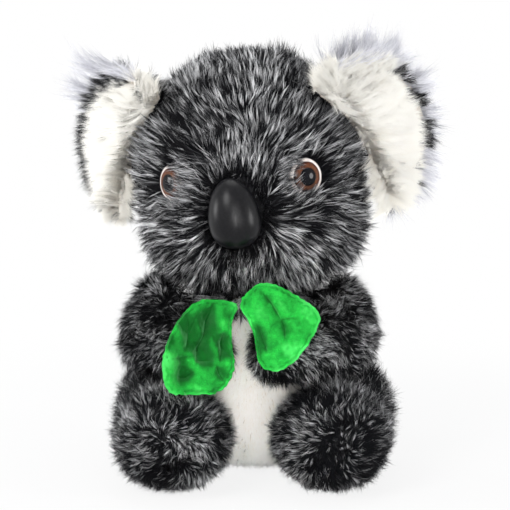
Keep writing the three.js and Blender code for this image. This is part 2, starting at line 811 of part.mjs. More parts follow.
// A leaf of two cloth layers, laid against the paw
function buildLeaf(side, sign, size, shares, arm, armSkin) {
  const frame = group(arm, -sign * size.across, 0, -size.below);
  frame.rotation.order = "ZYX";
  frame.rotation.set(radians(-size.tiltBack), 0, radians(-sign * size.turn));
  const outline = outlineOf(shares, size.halfWidth, size.halfHeight, LEAF_MESH.around);
  const foldAt = (x, z) => {
    const [u, v] = [(sign * x) / size.halfWidth, z / size.halfHeight];
    const across = LEAF_FOLD_SHARES.narrow * (u + LEAF_FOLD_SHARES.slant * v);
    return size.fold * (Math.exp(-(across ** 2)) - LEAF_FOLD_SHARES.curl * (u ** 2 + v ** 2));
  };
  const puff = (share) => LEAF.edge + (LEAF.layer - LEAF.edge) * (1 - share ** 4);
  const front = pad(
    outline,
    LEAF_MESH,
    (x, z, share) => foldAt(x, z) - FIT / 2 - puff(share),
    (x, z) => foldAt(x, z) - FIT / 2,
  );
  const back = pad(
    outline,
    LEAF_MESH,
    (x, z) => foldAt(x, z) + FIT / 2,
    (x, z, share) => foldAt(x, z) + FIT / 2 + puff(share),
  );
  frame.position.y = -far;
  frame.updateMatrix();
  const laid = back.clone().applyMatrix4(frame.matrix);
  frame.position.y += roomBetween(laid, armSkin, new THREE.Vector3(0, 1, 0)) - FIT;
  addPiece(frame, side + "_leaf_front", solidOf(front), COLOURS.leaf, SOFT);
  addPiece(frame, side + "_leaf_back", solidOf(back), COLOURS.leaf, SOFT);
}

buildBody();
buildHead();
buildLeg("left");
buildLeg("right");
buildArm("left", LEFT_ARM, LEFT_LEAF, LEFT_LEAF_OUTLINE_SHARES);
buildArm("right", RIGHT_ARM, RIGHT_LEAF, RIGHT_LEAF_OUTLINE_SHARES);

export default koala;
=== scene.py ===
"""A long-haired plush koala that sits upright and holds two sewn cloth leaves at its chest.

The sizes in the classes are millimetres, and every mesh is written in metres, in the CAD model's
frame: +X is the toy's own left, -Y is the way it faces and +Z is up.
"""

import logging
import math
from collections.abc import Callable, Sequence
from dataclasses import dataclass, field, replace
from enum import Enum
from functools import cache

import bmesh
import bpy
import numpy as np
from mathutils import Matrix, Vector
from mathutils.bvhtree import BVHTree


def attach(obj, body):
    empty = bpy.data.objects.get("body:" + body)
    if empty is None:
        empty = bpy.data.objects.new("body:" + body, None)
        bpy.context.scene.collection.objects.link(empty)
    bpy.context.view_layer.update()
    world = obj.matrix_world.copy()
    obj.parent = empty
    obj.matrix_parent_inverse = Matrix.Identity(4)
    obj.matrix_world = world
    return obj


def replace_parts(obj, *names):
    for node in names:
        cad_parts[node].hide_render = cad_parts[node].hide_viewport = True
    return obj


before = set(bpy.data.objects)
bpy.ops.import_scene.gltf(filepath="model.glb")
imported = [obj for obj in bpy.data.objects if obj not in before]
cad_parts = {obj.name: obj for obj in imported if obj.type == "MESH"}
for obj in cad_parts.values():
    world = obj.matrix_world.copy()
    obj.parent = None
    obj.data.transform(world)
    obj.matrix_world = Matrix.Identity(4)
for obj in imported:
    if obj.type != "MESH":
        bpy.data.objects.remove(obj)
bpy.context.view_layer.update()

log = logging.getLogger("koala")

MM = 0.001
SEED = 41
MIDDLE = (0.0, 0.0, 105.0)
STRAND_UV = "OFBake"
# name of the leaves' vertex layer of painted shade, below 0 painted edge sheen
PAINTED_SHADE_LAYER = "crease"

Array = np.ndarray
Point = RGB = tuple[float, float, float]
Field = Callable[[Array], Array]
FlowField = Callable[[Array, Array], Array]


class Slot(Enum):
    """Kinds of material, held by the hides and coats."""

    GREY_FUR = "grey_fur"
    DARK_FUR = "dark_fur"
    PLUSH = "white_plush"
    LEAF = "green_velour"
    NOSE = "nose_plastic"
    EYE_WHITE = "eye_white"
    EYE_BROWN = "eye_brown"
    EYE_BLACK = "eye_black"


class Side(Enum):
    """The toy's own sides, each with the sign of its X."""

    LEFT = 1
    RIGHT = -1

    @property
    def word(self) -> str:
        """The side's word in the names of its pieces."""
        return self.name.lower()


# Shader maths


class Value:
    """A node socket that takes part in Python sums."""

    def __init__(self, tree: "Tree", socket: bpy.types.NodeSocket) -> None:
        """Wraps a socket of a tree."""
        self.tree = tree
        self.socket = socket

    def __add__(self, other: "Value | float") -> "Value":
        """Sum."""
        return self.tree.maths("ADD", self, other)

    __radd__ = __add__

    def __sub__(self, other: "Value | float") -> "Value":
        """Difference."""
        return self.tree.maths("SUBTRACT", self, other)

    def __rsub__(self, other: "Value | float") -> "Value":
        """Difference from something else."""
        return self.tree.maths("SUBTRACT", other, self)

    def __mul__(self, other: "Value | float") -> "Value":
        """Product."""
        return self.tree.maths("MULTIPLY", self, other)

    __rmul__ = __mul__


class Tree:
    """A node tree under construction."""

    def __init__(self, tree: bpy.types.NodeTree) -> None:
        """Takes up a tree."""
        self.tree = tree

    def node(self, kind: str, settings: dict, inputs: dict) -> bpy.types.Node:
        """Adds a node.

        Args:
            kind: The node's type.
            settings: Its settings, with a ramp's stops under "stops".
            inputs: Values or links for its sockets, by name or number.

        Returns:
            The node.
        """
        made = self.tree.nodes.new(kind)
        for name, setting in settings.items():
            if name == "stops":
                ramp = made.color_ramp
                while len(ramp.elements) < len(setting):
                    ramp.elements.new(0.5)
                for element, (place, colour) in zip(ramp.elements, setting):
                    element.position = place
                    element.color = (*colour, 1.0)
            else:
                setattr(made, name, setting)
        for name, value in inputs.items():
            self.feed(made.inputs[name], value)
        return made

    def feed(self, socket: bpy.types.NodeSocket, value: "Value | float | Sequence[float]") -> None:
        """Gives a socket a link or a value of its own.

        Args:
            socket: The socket.
            value: What it takes.
        """
        if isinstance(value, Value):
            self.tree.links.new(value.socket, socket)
        elif isinstance(value, (tuple, list)) and socket.type == "RGBA":
            socket.default_value = (*value, 1.0)
        else:
            socket.default_value = value

    def out(self, node: bpy.types.Node, name: str | int = 0) -> Value:
        """One of a node's outputs."""
        return Value(self, node.outputs[name])

    def maths(self, operation: str, *values: "Value | float") -> Value:
        """A Math node on its values."""
        return self.out(self.node("ShaderNodeMath", {"operation": operation}, dict(enumerate(values))))

    def mix(self, share: "Value | float", first: "Value | RGB", second: "Value | RGB") -> Value:
        """A colour between two others."""
        inputs = {0: share, 6: first, 7: second}
        return self.out(self.node("ShaderNodeMix", {"data_type": "RGBA"}, inputs), 2)

    def ramp(self, value: Value, stops: Sequence[tuple[float, RGB]]) -> Value:
        """A colour from a ramp."""
        return self.out(self.node("ShaderNodeValToRGB", {"stops": stops}, {"Fac": value}), "Color")

    def step(self, value: Value, low: float, high: float) -> Value:
        """A smooth step from 0 to 1 between two values.

        Args:
            value: What is measured.
            low: Where it gives 0.
            high: Where it gives 1.

        Returns:
            The step.
        """
        settings = {"interpolation_type": "SMOOTHSTEP"}
        inputs = {"Value": value, "From Min": low, "From Max": high}
        return self.out(self.node("ShaderNodeMapRange", settings, inputs), "Result")

    def uv(self) -> tuple[Value, Value]:
        """The two parts of the piece's own UV."""
        place = self.out(self.node("ShaderNodeUVMap", {"uv_map": STRAND_UV}, {}), "UV")
        split = self.node("ShaderNodeSeparateXYZ", {}, {0: place})
        return self.out(split, 0), self.out(split, 1)

    def object_point(self) -> Value:
        """The point in metres, in the model's frame."""
        return self.out(self.node("ShaderNodeTexCoord", {}, {}), "Object")

    def noise(self, size: float, detail: float = 3.0, stretch: Point = (1, 1, 1)) -> Value:
        """Noise on the model's own coordinates.

        Args:
            size: The size of its features in millimetres.
            detail: How many finer layers it has.
            stretch: How much longer the features are along each axis.

        Returns:
            Its value.
        """
        scale = tuple(1 / (size * MM * s) for s in stretch)
        inputs = {"Vector": self.object_point(), "Scale": scale}
        mapped = self.out(self.node("ShaderNodeMapping", {}, inputs), "Vector")
        inputs = {"Vector": mapped, "Scale": 1.0, "Detail": detail}
        return self.out(self.node("ShaderNodeTexNoise", {}, inputs), 0)

    def bump(self, height: Value, distance: float, strength: float) -> Value:
        """A bump of a height in millimetres."""
        inputs = {"Height": height, "Distance": distance * MM, "Strength": strength}
        return self.out(self.node("ShaderNodeBump", {}, inputs), "Normal")

    def seen(self) -> Value:
        """1 for the rays of the camera, of gloss and of transmission, and 0 for the rest."""
        path = self.node("ShaderNodeLightPath", {}, {})
        camera, gloss, through = (
            self.out(path, kind) for kind in ("Is Camera Ray", "Is Glossy Ray", "Is Transmission Ray")
        )
        return self.maths("MAXIMUM", self.maths("MAXIMUM", camera, gloss), through)


class Shader(Tree):
    """A material under construction."""

    def __init__(self, name: str) -> None:
        """Starts a material with a Principled shader."""
        self.material = bpy.data.materials.new(name)
        self.material.use_nodes = True
        super().__init__(self.material.node_tree)
        self.principled = self.tree.nodes["Principled BSDF"]

    def dress(self, **sockets: "Value | float | Sequence[float]") -> bpy.types.Material:
        """Feeds the Principled shader's sockets, named with underscores, and gives the material."""
        for name, value in sockets.items():
            self.feed(self.principled.inputs[name.replace("_", " ").title().replace("Ior", "IOR")], value)
        return self.material


# Finishes


@dataclass(frozen=True)
class PileFinish:
    """Pile whose colour changes from strand to strand and from root to tip.

    Each strand's own UV holds its tone, from dark to light, and the place along it.
    """

    name: str
    root: RGB
    dark: RGB
    middle: RGB
    light: RGB
    half: float = 0.5
    rises: tuple[float, float] = (0.15, 0.6)
    roughness: float = 0.6
    specular: float = 0.06
    sheen: float = 0.0

    def material(self) -> bpy.types.Material:
        """Builds the material.

        Returns:
            The material.
        """
        shader = Shader(self.name)
        tone, along = shader.uv()
        stops = [(self.half * 0.5, self.dark), (self.half, self.middle), (1.0, self.light)]
        colour = shader.ramp(tone, stops)
        grown = shader.step(along, *self.rises)
        return shader.dress(
            base_color=shader.mix(grown, self.root, colour),
            roughness=self.roughness,
            specular_ior_level=self.specular,
            sheen_weight=self.sheen,
        )


@dataclass(frozen=True)
class BackingFinish:
    """The cloth and short underfur between the strands."""

    name: str
    dark: RGB
    light: RGB
    grain: float = 1.2

    def material(self) -> bpy.types.Material:
        """Builds the material.

        Returns:
            The material.
        """
        shader = Shader(self.name)
        fibres = shader.noise(self.grain, 4.0, (1.0, 1.0, 3.0))
        patches = shader.noise(9.0, 2.0)
        colour = shader.mix(shader.step(fibres * 0.7 + patches * 0.3, 0.4, 0.72), self.dark, self.light)
        return shader.dress(
            base_color=colour,
            roughness=0.95,
            specular_ior_level=0.1,
            normal=shader.bump(fibres, 1.0, 0.6),
        )


@dataclass(frozen=True)
class VelourFinish:
    """Short, bright green pile with a soft sheen, darkened by painted shade and lit by a painted edge sheen
    from the leaf's layer.
    """

    name: str = "green velour"
    deep: RGB = (0.007, 0.26, 0.026)
    bright: RGB = (0.016, 0.44, 0.046)
    # colour of the painted shade in the creases
    painted_shade: RGB = (0.002, 0.08, 0.009)
    # colour of the painted sheen along the puffy edge
    edge_sheen: RGB = (0.05, 0.52, 0.09)

    def material(self) -> bpy.types.Material:
        """Builds the material.

        Returns:
            The material.
        """
        shader = Shader(self.name)
        rubbed = shader.noise(4.0, 4.0)
        nap = shader.noise(0.5, 3.0)
        share = shader.step(rubbed * 0.6 + nap * 0.4, 0.32, 0.66)
        crease = shader.out(shader.node("ShaderNodeAttribute", {"attribute_name": PAINTED_SHADE_LAYER}, {}), "Fac")
        pile = shader.mix(share, self.deep, self.bright)
        # painted shade: the layer pulls the pile towards the shade colour
        pressed = shader.mix(crease * 0.86, pile, self.painted_shade)
        return shader.dress(
            # the painted edge sheen where the layer is below 0
            base_color=shader.mix(shader.step(0.0 - crease, 0.0, 0.6), pressed, self.edge_sheen),
            roughness=0.85,
            specular_ior_level=0.15,
            sheen_weight=0.35,
            sheen_roughness=0.4,
            sheen_tint=(0.3, 1.0, 0.4),
            normal=shader.bump(nap, 0.25, 0.5),
        )


@dataclass(frozen=True)
class MouldedFinish:
    """Moulded plastic with a fine unevenness in its gloss."""

    name: str
    colour: RGB
    second: RGB
    roughness: float
    grain: float = 3.0
    coat: float = 0.0
    specular: float = 0.5
    ripple: float = 0.02

    def material(self) -> bpy.types.Material:
        """Builds the material.

        Returns:
            The material.
        """
        shader = Shader(self.name)
        cloud = shader.noise(self.grain, 4.0)
        return shader.dress(
            base_color=shader.mix(shader.step(cloud, 0.35, 0.7), self.colour, self.second),
            roughness=(cloud - 0.5) * 0.08 + self.roughness,
            specular_ior_level=self.specular,
            coat_weight=self.coat,
            coat_roughness=0.05,
            normal=shader.bump(cloud, self.ripple, 0.4),
        )


@dataclass(frozen=True)
class IrisFinish:
    """The brown ring of an eye, streaked outwards from the pupil under a clear coat."""

    inner: RGB = (0.15, 0.050, 0.018)
    outer: RGB = (0.11, 0.028, 0.009)
    dark: RGB = (0.03, 0.009, 0.004)
    name: str = "eye brown"

    def material(self) -> bpy.types.Material:
        """Builds the material. Its UV holds the turn round the pupil and the way out from it."""
        shader = Shader(self.name)
        turn, out = shader.uv()
        place = shader.out(shader.node("ShaderNodeCombineXYZ", {}, {0: turn * 40, 1: out * 1.5}), 0)
        inputs = {"Vector": place, "Scale": 1.0, "Detail": 3.0}
        streaks = shader.out(shader.node("ShaderNodeTexNoise", {}, inputs), 0)
        ring = shader.ramp(out, [(0.0, self.dark), (0.25, self.inner), (0.7, self.outer), (1.0, self.dark)])
        colour = shader.mix(shader.step(streaks, 0.42, 0.68) * 0.6, ring, self.dark)
        return shader.dress(base_color=colour, roughness=0.3, specular_ior_level=0.2)


FINISHES = {
    "head": PileFinish(
        "grey pile", (0.002, 0.002, 0.003), (0.003, 0.003, 0.004), (0.035, 0.035, 0.038), (0.80, 0.80, 0.81),
        half=0.45, rises=(0.18, 0.55),
    ),
    "dark": PileFinish(
        "dark pile", (0.002, 0.002, 0.003), (0.003, 0.003, 0.004), (0.012, 0.012, 0.014), (0.82, 0.82, 0.83),
        half=0.45, rises=(0.35, 0.8),
    ),
    "plush": PileFinish(
        "white pile", (0.88, 0.81, 0.70), (0.80, 0.73, 0.61), (0.93, 0.90, 0.83), (0.96, 0.945, 0.90),
        rises=(0.0, 0.7), roughness=0.8, sheen=0.7,
    ),
    "wisp": PileFinish(
        "silver wisps", (0.30, 0.30, 0.32), (0.44, 0.44, 0.48), (0.64, 0.64, 0.69), (0.88, 0.88, 0.91),
        rises=(0.0, 0.4),
    ),
}
DARK_BACKING = BackingFinish("dark backing", (0.004, 0.004, 0.005), (0.03, 0.03, 0.032))
PALE_BACKING = BackingFinish("pale backing", (0.55, 0.48, 0.40), (0.80, 0.75, 0.68))


# Number helpers


def unit(vectors: Array) -> Array:
    """Vectors of length 1 along the given ones."""
    lengths = np.linalg.norm(vectors, axis=-1, keepdims=True)
    return vectors / np.maximum(lengths, 1e-9)


def flat(vectors: Array, normals: Array) -> Array:
    """What is left of the vectors in the planes of the normals."""
    return vectors - (vectors * normals).sum(-1, keepdims=True) * normals


def across(vectors: Array, normals: Array) -> Array:
    """The directions of the vectors in the planes of the normals."""
    return unit(flat(vectors, normals))


def smooth(values: Array, low: float, high: float) -> Array:
    """A smooth step from 0 at low to 1 at high."""
    share = np.clip((values - low) / (high - low), 0.0, 1.0)
    return share * share * (3 - 2 * share)


def near(points: Array, place: Point, reach: float) -> Array:
    """1 at a place, falling to 0 over a reach."""
    return np.exp(-((points - np.array(place)) ** 2).sum(-1) / reach**2)


def between(values: Array, low: float, high: float) -> Array:
    """Whether values lie between two others."""
    return (values > low) & (values < high)


def bell(values: Array, width: float) -> Array:
    """1 where the values are 0, falling to 0 on both sides over a width."""
    return np.exp(-((values / width) ** 2))


def into(frame_matrix: Matrix, points: Array) -> Array:
    """Points of the model's frame in another one."""
    back = np.array(frame_matrix.inverted())
    return points @ back[:3, :3].T + back[:3, 3]


class Ripples:
    """A smooth random field: plane waves in all directions."""

    def __init__(self, seed: int, size: float, waves: int = 24) -> None:
        """Draws the waves.

        Args:
            seed: The seed of this field.
            size: The size of its features in millimetres.
            waves: How many waves it adds up.
        """
        rng = np.random.default_rng(seed)
        lengths = 2 * size * rng.uniform(0.7, 1.5, (waves, 1))
        self.vectors = unit(rng.normal(size=(waves, 3))) * 2 * math.pi / lengths
        self.phases = rng.uniform(0, 2 * math.pi, waves)

    def __call__(self, points: Array) -> Array:
        """The field's values, mostly between -2 and 2."""
        waves = np.sin(points @ self.vectors.T + self.phases)
        return waves.sum(-1) / math.sqrt(len(self.phases) / 2)


def tousled(seed: int, size: float, points: Array) -> Array:
    """A smooth random vector at each point, from a field's seed and the size of its features."""
    return np.stack([Ripples(SEED + seed + k, size)(points) for k in range(3)], 1)


def relax(bm: bmesh.types.BMesh, verts: Sequence[bmesh.types.BMVert], passes: int) -> None:
    """Smooths vertices in place."""
    for _ in range(passes):
        bmesh.ops.smooth_vert(bm, verts=verts, factor=0.5, use_axis_x=True, use_axis_y=True, use_axis_z=True)


# Pieces


def placed(
    name: str, bm: bmesh.types.BMesh, body: str, material: bpy.types.Material
) -> bpy.types.Object:
    """Makes a finished piece of a mesh in millimetres.

    Args:
        name: The piece's name.
        bm: Its mesh, which is freed.
        body: The body it rides on.
        material: Its material.

    Returns:
        The object, at the origin and unturned.
    """
    bmesh.ops.scale(bm, vec=(MM, MM, MM), verts=bm.verts)
    mesh = bpy.data.meshes.new(name)
    bm.to_mesh(mesh)
    bm.free()
    mesh.shade_smooth()
    return finished(name, mesh, body, material)


def finished(
    name: str, mesh: bpy.types.Mesh, body: str, material: bpy.types.Material
) -> bpy.types.Object:
    """Links a mesh that is already in metres as a piece of the toy.

    Args:
        name: The piece's name.
        mesh: Its mesh.
        body: The body it rides on.
        material: Its material.

    Returns:
        The object.
    """
    mesh.materials.append(material)
    piece = bpy.data.objects.new(name, mesh)
    bpy.context.scene.collection.objects.link(piece)
    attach(piece, body)
    log.info("%s: %d faces on %s", name, len(mesh.polygons), body)
    return piece


@dataclass
class Hide:
    """The closed, smooth skin that the fur of one body grows from, under the CAD surface."""

    name: str
    body: str
    nodes: tuple[str, ...]
    sink: float
    voxel: float = 2.4
    passes: int = 6
    slot: Slot = Slot.DARK_FUR
    backing: BackingFinish = DARK_BACKING
    plugs: tuple[str, ...] = ()
    piece: bpy.types.Object = field(init=False)
    tree: BVHTree = field(init=False)

    def build(self) -> "Hide":
        """Remeshes the CAD nodes, with the plugs in their pits, into one skin, smooths it and sinks it.

        Returns:
            The hide itself.
        """
        bm = bmesh.new()
        for node in (*self.nodes, *self.plugs):
            bm.from_mesh(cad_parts[node].data)
        bmesh.ops.remove_doubles(bm, verts=bm.verts, dist=MM * 0.01)
        bmesh.ops.scale(bm, vec=(1 / MM,) * 3, verts=bm.verts)
        bm = self._remeshed(bm)
        relax(bm, bm.verts, self.passes)
        bm.normal_update()
        for vert in bm.verts:
            vert.co -= vert.normal * self.sink
        relax(bm, bm.verts, 2)
        bm.normal_update()
        self.tree = BVHTree.FromBMesh(bm)
        self.piece = placed(self.name, bm, self.body, self.backing.material())
        return self

    def _remeshed(self, bm: bmesh.types.BMesh) -> bmesh.types.BMesh:
        """Voxel remesh of a mesh in millimetres, with only its outer skin kept.

        Args:
            bm: The mesh, which is freed.

        Returns:
            The skin.
        """
        mesh = bpy.data.meshes.new(self.name + "_solid")
        bm.to_mesh(mesh)
        bm.free()
        draft = bpy.data.objects.new(mesh.name, mesh)
        bpy.context.scene.collection.objects.link(draft)
        remesh = draft.modifiers.new("skin", "REMESH")
        remesh.mode = "VOXEL"
        remesh.voxel_size = self.voxel
        graph = bpy.context.evaluated_depsgraph_get()
        bm = bmesh.new()
        bm.from_mesh(draft.evaluated_get(graph).to_mesh())
        bpy.data.objects.remove(draft)
        bpy.data.meshes.remove(mesh)
        shells = loose_shells(bm)
        outer = max(shells, key=lambda shell: max((v.co - shell[0].co).length for v in shell))
        inner = [vert for shell in shells if shell is not outer for vert in shell]
        bmesh.ops.delete(bm, geom=inner, context="VERTS")
        return bm

    def triangles(self) -> tuple[Array, Array]:
        """The skin's triangles, as corners in millimetres, and their corner normals."""
        mesh = self.piece.data
        mesh.calc_loop_triangles()
        points = np.empty(len(mesh.vertices) * 3, np.float32)
        normals = np.empty(len(mesh.vertices) * 3, np.float32)
        corners = np.empty(len(mesh.loop_triangles) * 3, np.int32)
        mesh.vertices.foreach_get("co", points)
        mesh.vertices.foreach_get("normal", normals)
        mesh.loop_triangles.foreach_get("vertices", corners)
        corners = corners.reshape(-1, 3)
        points = points.reshape(-1, 3).astype(float) / MM
        return points[corners], normals.reshape(-1, 3).astype(float)[corners]

    def covers(self, point: Vector, way: Vector, reach: float = 0.0) -> bool:
        """Whether a point lies inside the skin, or the skin is within reach along a way."""
        hit, facing, _, distance = self.tree.ray_cast(point, way)
        return hit is not None and (distance < reach or facing.dot(way) > 0)


def frame_tree(node: str) -> BVHTree:
    """The tree of a CAD node, in millimetres."""
    bm = bmesh.new()
    bm.from_mesh(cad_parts[node].data)
    bmesh.ops.scale(bm, vec=(1 / MM,) * 3, verts=bm.verts)
    tree = BVHTree.FromBMesh(bm)
    bm.free()
    return tree


def loose_shells(bm: bmesh.types.BMesh) -> list[list[bmesh.types.BMVert]]:
    """The vertices of each connected shell of a mesh.

    Args:
        bm: The mesh.

    Returns:
        One list of vertices for each shell.
    """
    seen: set[bmesh.types.BMVert] = set()
    shells = []
    for start in bm.verts:
        if start in seen:
            continue
        shell, queue = [], [start]
        seen.add(start)
        while queue:
            vert = queue.pop()
            shell.append(vert)
            for edge in vert.link_edges:
                other = edge.other_vert(vert)
                if other not in seen:
                    seen.add(other)
                    queue.append(other)
        shells.append(shell)
    return shells


@dataclass
class Roots:
    """Where clumps of pile are rooted: places, outward normals and the way the pile lies."""

    points: Array
    normals: Array
    flows: Array


def scattered(
    triangles: Array, normals: Array, spacing: float, rng: np.random.Generator
) -> tuple[Array, Array]:
    """Points spread evenly over triangles.

    Args:
        triangles: Corners, as an array of N by 3 by 3.
        normals: Corner normals, of the same shape.
        spacing: The distance between neighbours in millimetres.
        rng: The source of random numbers.

    Returns:
        The points and their normals.
    """
    crossed = np.cross(triangles[:, 1] - triangles[:, 0], triangles[:, 2] - triangles[:, 0])
    areas = np.linalg.norm(crossed, axis=1) / 2
    count = int(4 * areas.sum() / spacing**2)
    chosen = rng.choice(len(areas), count, p=areas / areas.sum())
    u, v = rng.random(count), rng.random(count)
    u, v = np.where(u + v > 1, 1 - u, u), np.where(u + v > 1, 1 - v, v)
    weights = np.stack([1 - u - v, u, v], 1)[..., None]
    points = (triangles[chosen] * weights).sum(1)
    turned = unit((normals[chosen] * weights).sum(1))
    cells = np.floor(points / spacing).astype(np.int64)
    _, first = np.unique(cells, axis=0, return_index=True)
    first = rng.permutation(first)
    return points[first], turned[first]


@dataclass
class Coat:
    """Pile of one kind, grown as clumps of flat, tapered strands."""

    name: str
    body: str
    slot: Slot
    finish: str
    seed: int
    strands: int
    spacing: float = 2.0
    length: float = 8.8
    uneven: float = 0.2
    lean: tuple[float, float] = (18.0, 66.0)
    width: float = 0.27
    spread: float = 1.2
    gather: float = 0.62
    stray: float = 0.8
    curl: float = 34.0
    segments: int = 3
    soft: float = 0.5
    twist: float = 28.0
    lean_spread: float = 9.0
    most_in_clump: int = 16
    floor_clear: float = 0.4
    reaches: tuple[float, float] = (0.72, 1.08)
    widths: tuple[float, float] = (0.7, 1.25)
    tone: float = 0.4
    tone_spread: tuple[float, float] = (0.22, 0.22)
    flow: FlowField | None = None
    tones: Field | None = None
    lengths: Field | None = None
    keep: Callable[[Array, Array], Array] | None = None

    def grow(self, roots: Roots, pressed: Array | None = None) -> bpy.types.Object:
        """Grows the pile and makes it a piece.

        Args:
            roots: Where the clumps are rooted.
            pressed: The room above each clump in millimetres, where something lies on it.

        Returns:
            The piece.
        """
        rng = np.random.default_rng(self.seed)
        clumps = len(roots.points)
        lengths = self.length * (1 + self.uneven * rng.normal(size=clumps)).clip(0.5, 1.35)
        if self.lengths:
            lengths = lengths * self.lengths(roots.points)
        tone = self.tone + self.tone_spread[0] * rng.normal(size=clumps)
        if self.tones:
            tone = tone + self.tones(roots.points)
        path = self._paths(roots, lengths, rng)
        if pressed is not None:
            rise = ((path[:, -1] - path[:, 0]) * roots.normals).sum(1)
            share = np.clip(pressed / np.maximum(rise, 1e-6), 0.15, 1.0)[:, None, None]
            path = path[:, :1] + (path - path[:, :1]) * share
        return self._ribbons(roots, path, tone, rng)

    def _paths(self, roots: Roots, lengths: Array, rng: np.random.Generator) -> Array:
        """The line of each clump, from its root to its tip.

        Args:
            roots: Where the clumps are rooted.
            lengths: Their lengths.
            rng: Random numbers.

        Returns:
            Points along each clump's line.
        """
        turns = np.radians(self.curl) * rng.normal(size=len(lengths))
        leans = np.radians(np.linspace(*self.lean, self.segments))
        lean_off = np.radians(self.lean_spread) * rng.normal(size=len(lengths))
        laid = np.minimum(np.linalg.norm(roots.flows, axis=1), 1.0)
        flows = unit(roots.flows)
        aside = np.cross(roots.normals, flows)
        path = [roots.points]
        for step, lean in enumerate(leans):
            turn = (turns * (step + 0.5) / self.segments)[:, None]
            along = np.cos(turn) * flows + np.sin(turn) * aside
            tilt = (lean * laid + lean_off)[:, None]
            ahead = np.cos(tilt) * roots.normals + np.sin(tilt) * along
            path.append(path[-1] + ahead * (lengths / self.segments)[:, None])
        return np.stack(path, 1)

    def _strands(self, roots: Roots, path: Array, rng: np.random.Generator) -> tuple[Array, Array]:
        """The line of each strand, round the line of its clump, and the number of that clump.

        Args:
            roots: Where the clumps are rooted.
            path: Their lines.
            rng: Random numbers.

        Returns:
            Points along each strand, and the strands' clumps.
        """
        count = min(self.strands, self.most_in_clump * len(path))
        own = rng.integers(0, len(path), count)
        turn, away = rng.uniform(0, 2 * math.pi, count), np.sqrt(rng.random(count)) * self.spread
        flows, normals = unit(roots.flows[own]), roots.normals[own]
        aside = np.cross(normals, flows)
        offset = (np.cos(turn) * away)[:, None] * flows + (np.sin(turn) * away)[:, None] * aside
        reach = rng.uniform(*self.reaches, count)[:, None]
        wander = rng.normal(size=(count, 3)) * self.stray
        start = path[own, 0]
        lines = []
        for step in range(self.segments + 1):
            share = step / self.segments
            shape = (path[own, step] - start) * reach
            lines.append(start + shape + offset * (1 - self.gather * share) + wander * share**1.5)
        lines = np.stack(lines, 1)
        height = lines[..., 2]
        lines[..., 2] = np.maximum(height, self.floor_clear + 0.05 * np.minimum(height, 0.0))
        return lines, own

    def _ribbons(self, roots: Roots, path: Array, tone: Array, rng: np.random.Generator) -> bpy.types.Object:
        """A piece of flat, tapered ribbons, one along the line of each strand.

        Args:
            roots: Where the clumps are rooted.
            path: Their lines.
            tone: Their tones.
            rng: Random numbers.

        Returns:
            The piece.
        """
        lines, own = self._strands(roots, path, rng)
        count, segments, normals = len(own), self.segments, roots.normals[own]
        twist = np.radians(self.twist) * rng.normal(size=count)[:, None]
        corners, uvs, shading = [], [], []
        own_tone = np.clip(tone[own] + self.tone_spread[1] * rng.normal(size=count), 0.02, 0.98)
        half = self.width / 2 * rng.uniform(*self.widths, count)[:, None]
        for step in range(segments):
            ahead = unit(lines[:, step + 1] - lines[:, step])
            wide = unit(np.cross(ahead, normals))
            wide = np.cos(twist) * wide + np.sin(twist) * np.cross(ahead, wide)
            facing = unit(self.soft * normals + (1 - self.soft) * np.cross(wide, ahead))
            taper = 1.0 - 0.45 * (step / segments) ** 1.5
            place = lines[:, step]
            corners += [place - wide * half * taper, place + wide * half * taper]
            shading += [facing, facing]
            along = np.full(count, step / segments)
            uvs += [np.stack([own_tone - 0.008, along], 1), np.stack([own_tone + 0.008, along], 1)]
        corners.append(lines[:, -1])
        shading.append(facing)
        uvs.append(np.stack([own_tone, np.ones(count)], 1))
        corners, uvs, shading = (np.stack(part, 1) for part in (corners, uvs, shading))
        mesh = ribbon_mesh(self.name, corners * MM, uvs, shading, segments)
        return finished(self.name, mesh, self.body, pile_material(self.finish))


def ribbon_mesh(name: str, corners: Array, uvs: Array, shading: Array, segments: int) -> bpy.types.Mesh:
    """One mesh of many ribbons of the same make: quads, then a triangle at the tip.

    Args:
        name: The mesh's name.
        corners: Each ribbon's corners in pairs, then its tip, in metres.
        uvs: The corners' UVs.
        shading: The corners' shading normals.
        segments: The ribbon's number of faces.

    Returns:
        The mesh, with its UV map.
    """
    count, each = corners.shape[:2]
    loops = [i for k in range(segments - 1) for i in (2 * k, 2 * k + 1, 2 * k + 3, 2 * k + 2)]
    loops += [each - 3, each - 2, each - 1]
    starts = [4 * k for k in range(segments)]
    base = (np.arange(count) * each)[:, None]
    index = (base + np.array(loops)).ravel()
    begin = ((np.arange(count) * len(loops))[:, None] + np.array(starts)).ravel()
    mesh = bpy.data.meshes.new(name)
    mesh.vertices.add(count * each)
    mesh.vertices.foreach_set("co", corners.astype(np.float32).ravel())
    mesh.loops.add(len(index))
    mesh.loops.foreach_set("vertex_index", index.astype(np.int32))
    mesh.polygons.add(len(begin))
    mesh.polygons.foreach_set("loop_start", begin.astype(np.int32))
    mesh.update(calc_edges=True)
    layer = mesh.uv_layers.new(name=STRAND_UV)
    layer.data.foreach_set("uv", uvs.reshape(-1, 2)[index].astype(np.float32).ravel())
    mesh.shade_smooth()
    normals = mesh.attributes.new("custom_normal", "FLOAT_VECTOR", "POINT")
    normals.data.foreach_set("vector", shading.astype(np.float32).ravel())
    return mesh


@cache
def pile_material(finish: str) -> bpy.types.Material:
    """The one material of a kind of pile."""
    return FINISHES[finish].material()


